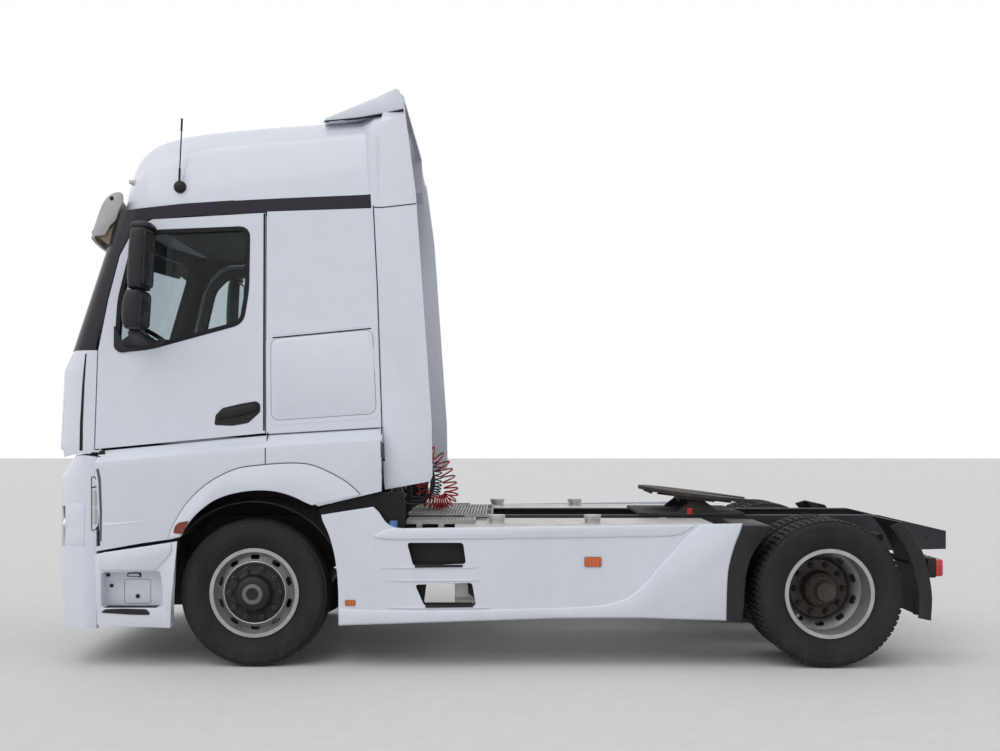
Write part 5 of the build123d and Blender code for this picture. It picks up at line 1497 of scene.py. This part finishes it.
def locker_surround(hand, side):
    """The lid with its rounded corners and the panel edge round it."""
    square = ((0.110, 1.650), (0.822, 1.698), (0.796, 2.270), (0.106, 2.204))
    lid_edge = rounded(offset_outline([Vector(p) for p in square], -0.004), 0.060, 7)
    place = on_cab_side(side)
    settle(slab(f"locker_face_{hand}", lid_edge, -0.010, 0.0022, place, 0.002),
        f"locker_lid_{hand}", PAINT, 30)
    settle(frame_strip(f"locker_panel_edge_{hand}", rounded(((0.110, 1.650), (0.822, 1.698),
        (0.796, 2.2885), (0.106, 2.2225)), 0.054, 7), 0.030, 0.0, -0.004, 0.0018, place, 0.0012),
        "cab", PAINT)
    settle(frame_strip(f"locker_seam_{hand}", rounded(offset_outline(
        [Vector(p) for p in square], -0.0028), 0.061, 7), 0.0012, 0.0012, -0.004, 0.0008, place, 0),
        f"locker_lid_{hand}", SEAM_GREY)


both_sides(roof_cheek, cab_seams, door_sill, locker_surround)


# --- Mirrors ---

def mirror_housing(name, side, rows):
    """A housing with a bulging front: height, front station, rear station, inner and outer y."""
    rings = []
    for z, front, rear, inner, outer in rows:
        depth, width = rear - front, outer - inner
        ring = [(rear, inner + 0.010), (rear, inner + width * 0.35), (rear, inner + width * 0.65),
            (rear, outer - 0.012), (rear - depth * 0.25, outer), (rear - depth * 0.62, outer),
            (front + depth * 0.06, outer - width * 0.10), (front, outer - width * 0.35),
            (front, inner + width * 0.35), (front + depth * 0.10, inner + width * 0.10),
            (rear - depth * 0.55, inner), (rear - depth * 0.2, inner)]
        rings.append([(at(x), side * y, z) for x, y in ring])
    return subdivided(lofted(name, rings))


def door_mirror(hand, side):
    """The main and wide-angle mirrors on their arms, with the foot at the window's corner."""
    body = f"door_{hand}"
    upper = mirror_housing(f"mirror_upper_{hand}", side, (
        (2.508, -0.764, -0.672, 1.235, 1.462), (2.514, -0.772, -0.664, 1.226, 1.474),
        (2.620, -0.773, -0.658, 1.222, 1.479), (2.780, -0.764, -0.648, 1.222, 1.479),
        (2.896, -0.752, -0.640, 1.226, 1.474), (2.904, -0.744, -0.648, 1.235, 1.462)))
    lower = mirror_housing(f"mirror_lower_{hand}", side, (
        (2.246, -0.782, -0.690, 1.245, 1.450), (2.254, -0.800, -0.684, 1.232, 1.468),
        (2.330, -0.814, -0.678, 1.226, 1.477), (2.420, -0.808, -0.672, 1.224, 1.477),
        (2.494, -0.786, -0.668, 1.226, 1.474), (2.501, -0.778, -0.674, 1.235, 1.462)))
    for piece in (upper, lower):
        settle(piece, body, MIRROR_BLACK, 180)
    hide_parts(f"door_mirror_{hand}")
    for label, low, high, x0, x1 in (("main", 2.535, 2.880, -0.6565, -0.6400),
            ("wide", 2.272, 2.480, -0.6800, -0.6670)):
        ring = rounded(((1.248, low), (1.448, low), (1.448, high), (1.248, high)), 0.030, 5)

        def leaning(y, z, out, x0=x0, x1=x1, low=low, high=high):
            return Vector((at(x0 + (x1 - x0) * (z - low) / (high - low) + out), side * y, z))
        settle(slab(f"mirror_glass_{label}_{hand}", ring, -0.012, -0.0015, leaning, 0), body,
            MIRROR_GLASS)
        settle(frame_strip(f"mirror_rim_{label}_{hand}", ring, 0.008, 0.004, -0.014, 0.0025,
            leaning, 0.001), body, MIRROR_BLACK)
    rings = []
    for y, x0, x1, z0, z1 in ((1.128, -0.800, -0.660, 2.925, 2.957),
            (1.200, -0.780, -0.640, 2.918, 2.960), (1.330, -0.766, -0.628, 2.906, 2.962),
            (1.400, -0.760, -0.632, 2.902, 2.956), (1.425, -0.745, -0.650, 2.900, 2.940)):
        rings.append([(at(x), side * y, z) for x, z in ((x0, z0), (x1, z0), (x1, (z0 + z1) / 2),
            (x1 - 0.012, z1), (x0 + 0.012, z1), (x0, (z0 + z1) / 2))])
    settle(subdivided(lofted(f"mirror_upper_arm_{hand}", rings)), body, MIRROR_BLACK,
        180)
    rings = []
    for y, x0, x1, z0, z1 in ((1.130, -0.905, -0.640, 2.135, 2.232),
            (1.160, -0.900, -0.650, 2.140, 2.232), (1.210, -0.840, -0.690, 2.168, 2.236),
            (1.300, -0.805, -0.700, 2.196, 2.250), (1.380, -0.795, -0.705, 2.214, 2.262)):
        rings.append([(at(x), side * y, z) for x, z in ((x0, z0 + 0.02), (x0 + 0.03, z0),
            (x1 - 0.03, z0), (x1, z0 + 0.02), (x1 - 0.02, z1), (x0 + 0.02, z1))])
    settle(subdivided(lofted(f"mirror_lower_arm_{hand}", rings)), body, MIRROR_BLACK,
        180)
    settle(slab(f"mirror_foot_{hand}", rounded(((-0.944, 2.300), (-0.944, 2.138),
        (-0.900, 2.108), (-0.640, 2.148), (-0.568, 2.200), (-0.690, 2.192), (-0.880, 2.180)), 0.022,
        4), -0.006, 0.012, on_cab_side(side), 0.006), body, MIRROR_BLACK, 50)


both_sides(door_mirror)


# --- Rear guards, tail lamps and plate ---

guard_outer = smooth_line(((4.328, 0.979), (4.396, 0.898), (4.463, 0.776), (4.504, 0.627),
    (4.524, 0.478), (4.517, 0.322)), 4)
guard_inner = smooth_line(((4.240, 0.952), (4.318, 0.850), (4.378, 0.730), (4.415, 0.600),
    (4.436, 0.478), (4.429, 0.340)), 4)


def rear_guard(hand, side):
    """The curved guard behind the drive wheels with its side lip, arm and spray brush."""
    rings = []
    for outer, inner in zip(guard_outer, guard_inner):
        thin = outer.lerp(inner, 0.12)
        rings.append([(at(p.x), side * y, p.y) for p, y in (
            (outer, 0.620), (outer, 1.234), (outer.lerp(inner, 0.1), 1.240), (inner, 1.240),
            (inner, 1.231), (thin, 1.228), (thin, 0.620))])
    settle(bevelled(lofted(f"rear_guard_{hand}_shell", rings), 0.003, 2, 40), "chassis",
        MOULDED_BLACK, 40, (f"rear_guard_{hand}",))
    low, high = sorted((side * 0.405, side * 0.665))
    settle(block_piece(f"rear_guard_arm_{hand}", (4.335, 4.385, low, high, 0.800, 0.850),
        bevel=0.008), "chassis", FRAME_PAINT)
    block_row(f"spray_brush_{hand}", (4.408, 4.440, *sorted((side * 1.196, side * 1.238)),
              0.362, 0.371), 7, (0, 0, 0.0175), RUBBER_SEAL)


def tail_lamps():
    """The rear lamps with their coloured chambers, their bar and a blank plate."""
    boxes = []
    for side in SIDES.values():
        boxes.append((4.496, 4.556, *sorted((side * 0.790, side * 1.226)), 0.606, 0.738))
        boxes.append((4.470, 4.520, *sorted((side * 0.345, side * 0.400)), 0.655, 0.790))
    boxes.append((4.480, 4.500, -0.900, 0.900, 0.655, 0.700))
    settle(block_piece("tail_lamp_housings", *boxes, bevel=0.010, segments=3), "chassis",
        MOULDED_BLACK, 40, ("tail_lamps",))
    for hand, side in SIDES.items():
        for label, y0, y1, material in (
                ("stop", 1.095, 1.222, LENS_RED), ("turn", 0.985, 1.091, LENS_ORANGE),
                ("reverse", 0.885, 0.981, LENS_CLEAR), ("fog", 0.800, 0.881, LENS_RED)):
            settle(block_piece(f"tail_lens_{label}_{hand}", (4.550, 4.604, *sorted(
                (side * y0, side * y1)), 0.614, 0.729), bevel=0.014, segments=3), "chassis",
                material, 40)
    settle(block_piece("rear_plate_board", (4.496, 4.508, -0.275, 0.275, 0.560, 0.690),
        bevel=0.003), "chassis", MOULDED_BLACK)
    settle(block_piece("rear_plate_blank", (4.507, 4.511, -0.260, 0.260, 0.570, 0.680), bevel=0.001,
        segments=1), "chassis", PLATE_WHITE)


both_sides(rear_guard)
tail_lamps()


# --- Behind the cab ---

def catwalk_treads():
    """Slotted treads on the catwalk, light against the dark carrier."""
    top = surface_of("catwalk")((at(1.200), -0.500, 3.0), (0, 0, -1)).z
    pitch, wide = 0.0215, 0.012
    for label, x0, x1, y0, y1, level in (("near", 1.010, 1.480, -1.060, -0.730, top - 0.022),
            ("middle", 0.992, 1.600, -0.716, 0.300, top)):
        block_row(f"tread_slats_{label}", (
            x0 + 0.014, x0 + 0.026, y0 + 0.010, y1 - 0.010, level - 0.004, level + 0.012),
            int((x1 - x0 - 0.028) / pitch), (pitch, 0, 0), TREAD_ALUMINIUM)
        low, high, middle = level - 0.012, level + 0.014, (y0 + y1) / 2
        settle(block_piece(f"tread_edge_{label}", (x0, x1, y0, y0 + wide, low, high),
            (x0, x1, y1 - wide, y1, low, high), (x0, x0 + wide, y0, y1, low, high),
            (x1 - wide, x1, y0, y1, low, high), (x0, x1, middle - 0.014, middle + 0.014,
            level - 0.010, level + 0.013), bevel=0.002), "chassis", TREAD_ALUMINIUM)
    settle(block_piece("tread_brackets", *[(x - 0.020, x + 0.020, -1.062, -0.700, top - 0.062,
        top - 0.032) for x in (1.10, 1.25, 1.40)], (1.38, 1.60, -0.40, -0.34, top - 0.060,
        top - 0.012), (1.38, 1.60, 0.24, 0.30, top - 0.060, top - 0.012), bevel=0.004), "chassis",
        TREAD_ALUMINIUM)


def behind_the_cab():
    """The bulkhead, rear cab mount, hoses and the cap in the gap under the cab."""
    settle(block_piece("rear_bulkhead", (0.872, 0.884, -0.800, 0.800, 0.970, 1.400), *[(0.884,
        0.896, y - 0.008, y + 0.008, 0.990, 1.380) for y in (-0.6, -0.3, 0.3, 0.6)], bevel=0.003),
        "chassis", MOULDED_BLACK)
    settle(block_piece("cab_rear_mount", (0.620, 0.780, -0.470, 0.470, 1.180, 1.280), (0.640, 0.760,
        -0.440, -0.340, 0.950, 1.360), (0.640, 0.760, 0.340, 0.440, 0.950, 1.360), bevel=0.012),
        "chassis", FRAME_PAINT)
    for index, (y, drop, reach) in enumerate(((-0.330, 1.060, 0.20), (-0.380, 1.040, 0.15),
            (-0.150, 1.050, 0.17), (0.120, 1.060, 0.16))):
        settle(pipe(f"service_hose_{index}", [Vector((at(x), y + dy, z)) for x, dy, z in (
            (0.962, 0, 1.400), (0.962 + reach * 0.5, 0, 1.390), (0.962 + reach, -0.01, 1.300),
            (0.962 + reach, -0.02, drop + 0.06), (0.990 + reach * 0.4, -0.03, drop),
            (0.930, -0.05, drop + 0.01), (0.890, -0.06, drop + 0.12))], 0.010), "chassis",
            CABLE_BLACK, 180)
    for index, (y, z) in enumerate(((-0.250, 1.420), (-0.250, 1.290), (-0.060, 1.400),
            (-0.060, 1.290))):
        socket = turned_piece(f"coupling_socket_{index}", (
            (0, 0.030), (0.018, 0.030), (0.019, 0.026), (0.019, 0.004), (0.026, 0.002),
            (0.026, -0.012), (0, -0.012)), Vector((0, 0, 0)), 24, "Z")
        socket.data.transform(Matrix.Translation((at(0.985), y, z)) @ Matrix.Rotation(radians(90),
            4, "Y"))
        settle(socket, "chassis", BRIGHT_METAL if index % 2 else HUB_COVER, 40)
    settle(turned_piece("washer_cap", ((0, 0.020), (0.024, 0.020), (0.028, 0.015), (0.028, -0.030),
        (0, -0.030)), Vector((at(0.940), -1.208, 0.966)), 24, "Z"), "chassis", CAP_BLUE,
        40)
    settle(block_piece("red_tag", (3.020, 3.055, -0.470, -0.462, 0.975, 1.020), bevel=0.002),
        "chassis", LENS_RED)


catwalk_treads()
behind_the_cab()


# --- Front corner of the side ---

BUMPER_SIDE = surface_of("bumper")


def headlamp_side(hand, side):
    """The painted cheek of the bumper beside the headlamp."""
    rings = []
    for x in (-1.278, -1.250, -1.220, -1.180, -1.128):
        high = BUMPER_SIDE((at(x), side * 3.0, 1.112), (0, -side, 0))
        low = BUMPER_SIDE((at(x), side * 3.0, 0.700), (0, -side, 0))
        if high is None or low is None:
            continue
        outer = [low.lerp(high, t) + Vector((0, side * 0.003, 0))
                 for t in (0.28, 0.45, 0.6, 0.8, 0.97)]
        rings.append(outer + [p - Vector((0, side * 0.010, 0)) for p in reversed(outer)])
    settle(bevelled(lofted(f"headlamp_cheek_{hand}", rings), 0.002, 2, 40), "chassis", PAINT,
        50)


def corner_lamp(hand, side):
    """The slim lamp at the rear edge of the bumper and the dark gap above it."""
    face = abs(BUMPER_SIDE((at(-1.070), side * 3.0, 1.100), (0, -side, 0)).y)
    outline = rounded(((-1.080, 1.281), (-1.056, 1.274), (-1.035, 1.240), (-1.033, 0.953),
        (-1.053, 0.926), (-1.080, 0.916)), 0.012, 3)
    settle(slab(f"corner_lamp_{hand}", outline, face - 0.010, face + 0.003, on_side(side),
        0.001), "chassis", PAINT)
    settle(frame_strip(f"corner_lamp_edge_{hand}", outline, 0.002, 0.003, face - 0.008,
        face + 0.0045, on_side(side), 0), "chassis", RUBBER_SEAL)
    for index, (z0, z1) in enumerate(((1.080, 1.190), (0.960, 1.070))):
        settle(slab(f"corner_lens_{index}_{hand}", rounded(((-1.074, z0), (-1.044, z0),
            (-1.044, z1), (-1.074, z1)), 0.006, 2), face, face + 0.007, on_side(side), 0.002),
            "chassis", LENS_CLEAR)
    settle(slab(f"corner_lamp_bar_{hand}", ((-1.078, 1.203), (-1.036, 1.209), (-1.036, 1.217),
        (-1.078, 1.211)), face, face + 0.006, on_side(side), 0.001), "chassis", RUBBER_SEAL)


def corner_seals(hand, side):
    """The dark notch at the top of the fender and the seal behind the door."""
    settle(ribbon(f"fender_notch_{hand}", side, ((-1.040, 1.438), (-0.997, 1.442)), 0.026,
        CAB_SIDE, 0.002), "cab", RUBBER_SEAL)
    settle(ribbon(f"door_rear_seal_{hand}", side, ((0.0635, 1.585), (0.0635, 3.050)), 0.012,
        CAB_SIDE, depth=0.003), f"door_{hand}", RUBBER_SEAL)


both_sides(headlamp_side, corner_lamp, corner_seals)


# --- Sun visor ends ---

def visor_end(hand, side):
    """The visor's end cap, its lighter underside, the dark edge below it and a bolt."""
    def beside_cap(start, direction):
        """Where the dark edge lies: just inside the face of the cap."""
        return Vector((start[0], side * 1.044, start[2]))
    settle(slab(f"visor_end_{hand}", smooth_line(((-1.128, 2.940), (-1.107, 2.998),
        (-1.0755, 3.0915), (-1.039, 3.164), (-1.0025, 3.196), (-0.966, 3.211), (-0.930, 3.208),
        (-0.9165, 3.180), (-0.919, 3.138), (-0.9426, 3.097), (-0.956, 3.050), (-0.971, 3.013),
        (-1.013, 2.977), (-1.055, 2.956)), 2), 1.035, 1.0495, on_side(side), 0.006), "cab",
        VISOR_AGED, 50)
    settle(slab(f"visor_under_{hand}", ((-1.112, 2.925), (-1.018, 2.850), (-0.982, 2.998)),
        1.026, 1.034, on_side(side), 0.002), "cab", VISOR_UNDER)
    settle(ribbon(f"visor_edge_{hand}", side, ((-1.130, 2.936), (-1.055, 2.950),
        (-1.013, 2.971), (-0.968, 3.010)), (0.014, 0.016, 0.014, 0.010), beside_cap, 0.002), "cab",
        HUB_COVER)
    settle(turned_piece(f"visor_bolt_{hand}", ((0, side * 0.008), (0.012, side * 0.007),
        (0.016, 0.0), (0.016, -side * 0.004)), Vector((at(-0.994), side * 1.048, 3.168)), 16),
        "cab", HUB_COVER)


both_sides(visor_end)


# --- Front by type: lamps, wipers, plate ---

def pointed_forwards(piece, place):
    """Turns a piece made about the Z axis to point along -X and sets it in place."""
    piece.data.transform(Matrix.Translation(place) @ Matrix.Rotation(radians(-90), 4, "Y"))
    return piece


def headlamp(hand, side):
    """The clear cover with its dark housing, two reflector bowls and a light bar."""
    node = nodes[f"headlamp_{hand}"]
    for label, keep_front, thickness in (("cover", True, 0.004), ("housing", False, 0.003)):
        shape = bmesh.new()
        shape.from_mesh(node.data)
        bmesh.ops.remove_doubles(shape, verts=shape.verts, dist=1e-5)
        shape.normal_update()
        out = [f for f in shape.faces if (f.normal.x < -0.3) != keep_front]
        bmesh.ops.delete(shape, geom=out, context="FACES")
        made = walled(as_piece(f"headlamp_{label}_{hand}", shape), thickness, -1)
        if keep_front:
            settle(made, "chassis", LAMP_GLASS, 40, (f"headlamp_{hand}",))
        else:
            settle(made, "chassis", MOULDED_BLACK)
    for label, y, z, size in (("dipped", 1.080, 0.945, 0.058), ("main", 0.965, 0.880, 0.044)):
        place = on_front(FRONT_OF_BUMPER, side * y, z, -0.030)
        bowl = turned_piece(f"headlamp_bowl_{label}_{hand}", ((0.0, -0.050), (size * 0.5, -0.042),
            (size * 0.85, -0.022), (size, 0.0), (size + 0.006, 0.002), (size + 0.006, -0.004),
            (size * 0.9, -0.030), (size * 0.5, -0.052), (0.0, -0.058)), Vector((0, 0, 0)), 32, "Z")
        settle(pointed_forwards(bowl, place), "chassis", BRIGHT_METAL, 40)
        bulb = turned_piece(f"headlamp_lens_{label}_{hand}", ((0.0, -0.010), (size * 0.3, -0.014),
            (size * 0.5, -0.026), (size * 0.52, -0.040), (0.0, -0.040)), Vector((0, 0, 0)), 24, "Z")
        settle(pointed_forwards(bulb, place), "chassis", LENS_CLEAR, 50)
    settle(tube(f"headlamp_bar_{hand}", [on_front(FRONT_OF_BUMPER, side * y, z, -0.014) for y,
        z in ((0.850, 0.815), (0.930, 0.790), (1.030, 0.790), (1.110, 0.815), (1.145, 0.860))],
        0.007), "chassis", LENS_CLEAR)


def fog_lamp(hand, side):
    """The round fog lamp in its dark recess below the headlamp."""
    settle(front_patch(f"fog_recess_{hand}", [(side * y, z) for y, z in ((0.825, 0.575),
        (0.955, 0.575), (0.970, 0.500), (0.955, 0.440), (0.845, 0.440), (0.825, 0.500))],
        FRONT_OF_BUMPER, 0.001, 0.004), "chassis", MOULDED_BLACK)
    place = on_front(FRONT_OF_BUMPER, side * 0.895, 0.508, 0.0)
    lens = turned_piece(f"fog_lens_{hand}", ((0.0, 0.004), (0.026, 0.003), (0.034, -0.001),
        (0.038, -0.002), (0.038, -0.016), (0.0, -0.016)), Vector((0, 0, 0)), 28, "Z")
    settle(pointed_forwards(lens, place + Vector((0.004, 0, 0))), "chassis", LENS_CLEAR, 40)


def wiper(name, pivot, middle, ends):
    """An arm from the cowl and a blade that rests on the glass."""
    top = on_front(FRONT_OF_CAB, *middle, 0.016)
    foot = on_front(FRONT_OF_CAB, *pivot, 0.010)
    settle(tube(f"wiper_arm_{name}", [foot, foot.lerp(top, 0.15) - Vector((0.010, 0, 0)),
        foot.lerp(top, 0.8) - Vector((0.008, 0, 0)), top], 0.007), "cab", MOULDED_BLACK)
    start, end = Vector(ends[0]), Vector(ends[1])
    settle(tube(f"wiper_blade_{name}", [on_front(FRONT_OF_CAB, *start.lerp(end, step / 5),
        0.008) for step in range(6)], 0.006), "cab", RUBBER_SEAL)


def grille_backings():
    """The dark sheets behind the slats of both grilles."""
    for name, outline, body in (
            ("grille_upper", ((-0.90, 1.445), (-0.93, 1.690), (0, 1.690), (0.93, 1.690),
                              (0.90, 1.445), (0, 1.445)), "front_flap"),
            ("grille_lower", ((-0.86, 1.395), (-0.80, 0.900), (-0.40, 0.760), (0.40, 0.760),
                              (0.80, 0.900), (0.86, 1.395)), "chassis")):
        settle(front_patch(f"{name}_backing", outline, surface_of(name, "bumper", "front_flap"),
            -0.045, 0.003, rows=2), body, RUBBER_SEAL)


def windscreen_base():
    """The rubber along the foot of the windscreen."""
    settle(front_patch("windscreen_base", ((-0.955, 2.140), (-0.955, 2.168), (-0.5, 2.164),
        (0.0, 2.162), (0.5, 2.164), (0.955, 2.168), (0.955, 2.140), (0.0, 2.136)), FRONT_OF_CAB,
        0.001, 0.003, rows=2), "cab", RUBBER_SEAL)


def roof_markers():
    """Four marker lamps over the visor."""
    for index, y in enumerate((-0.900, -0.330, 0.330, 0.900)):
        x = on_front(FRONT_OF_CAB, y, 3.305).x - at(0)
        settle(block_piece(f"roof_marker_{index}", (x - 0.008, x + 0.040, y - 0.045, y + 0.045,
            3.290, 3.318), bevel=0.007, segments=3), "cab", LENS_CLEAR, 40)


def front_plate():
    """A blank plate and its holder, set against the bumper inside its foremost point."""
    foremost = -1.4355
    face = max(on_front(FRONT_OF_BUMPER, y, z).x for y in (-0.26, 0, 0.26) for z in (0.34, 0.39))
    x = max(face - at(0) - 0.006, foremost)
    settle(block_piece("front_plate_holder", (x, x + 0.030, -0.265, 0.265, 0.292, 0.398),
        bevel=0.003), "chassis", MOULDED_BLACK)
    settle(block_piece("front_plate_blank", (x - 0.001, x + 0.004, -0.255, 0.255, 0.300, 0.390),
        bevel=0.0008, segments=1), "chassis", PLATE_WHITE)


both_sides(headlamp, fog_lamp)
wiper("left", (-0.12, 2.148), (-0.52, 2.200), ((-0.900, 2.218), (-0.140, 2.180)))
wiper("right", (0.62, 2.148), (0.25, 2.200), ((-0.080, 2.190), (0.590, 2.190)))
grille_backings()
windscreen_base()
roof_markers()
front_plate()


# --- Frame side details ---

def frame_details(hand, side):
    """Bolt rows on the rail, the splash panel under the cab, and a crease on the fender."""
    low, high = sorted((side * 0.414, side * 0.424))
    for label, x0, z, count in (("upper", 3.060, 0.935, 14), ("lower", 3.060, 0.740, 14),
            ("tail", 4.450, 0.800, 5)):
        block_row(f"rail_bolts_{label}_{hand}", (x0 - 0.010, x0 + 0.010, low, high, z - 0.010,
            z + 0.010), count, (0.085, 0, 0), HUB_RUST)
    settle(slab(f"rail_fish_plate_{hand}", ((2.980, 0.720), (3.420, 0.720), (3.520, 0.780),
        (3.520, 0.900), (3.420, 0.952), (2.980, 0.952)), 0.410, 0.420, on_side(side), 0.002),
        "chassis", FRAME_PAINT)
    settle(slab(f"splash_panel_{hand}", ((-1.080, 0.420), (-0.900, 0.330), (-0.625, 0.330),
        (-0.625, 0.820), (-1.080, 0.820)), 0.560, 0.568, on_side(side), 0.0), "chassis",
        MOULDED_BLACK)
    settle(slab(f"fender_crease_{hand}", ((-0.992, 0.944), (-0.985, 0.972), (-0.800, 0.982),
        (-0.610, 0.987), (-0.800, 0.968)), 1.230, 1.2425, on_side(side), 0.005), "cab", PAINT,
        60)


both_sides(frame_details)
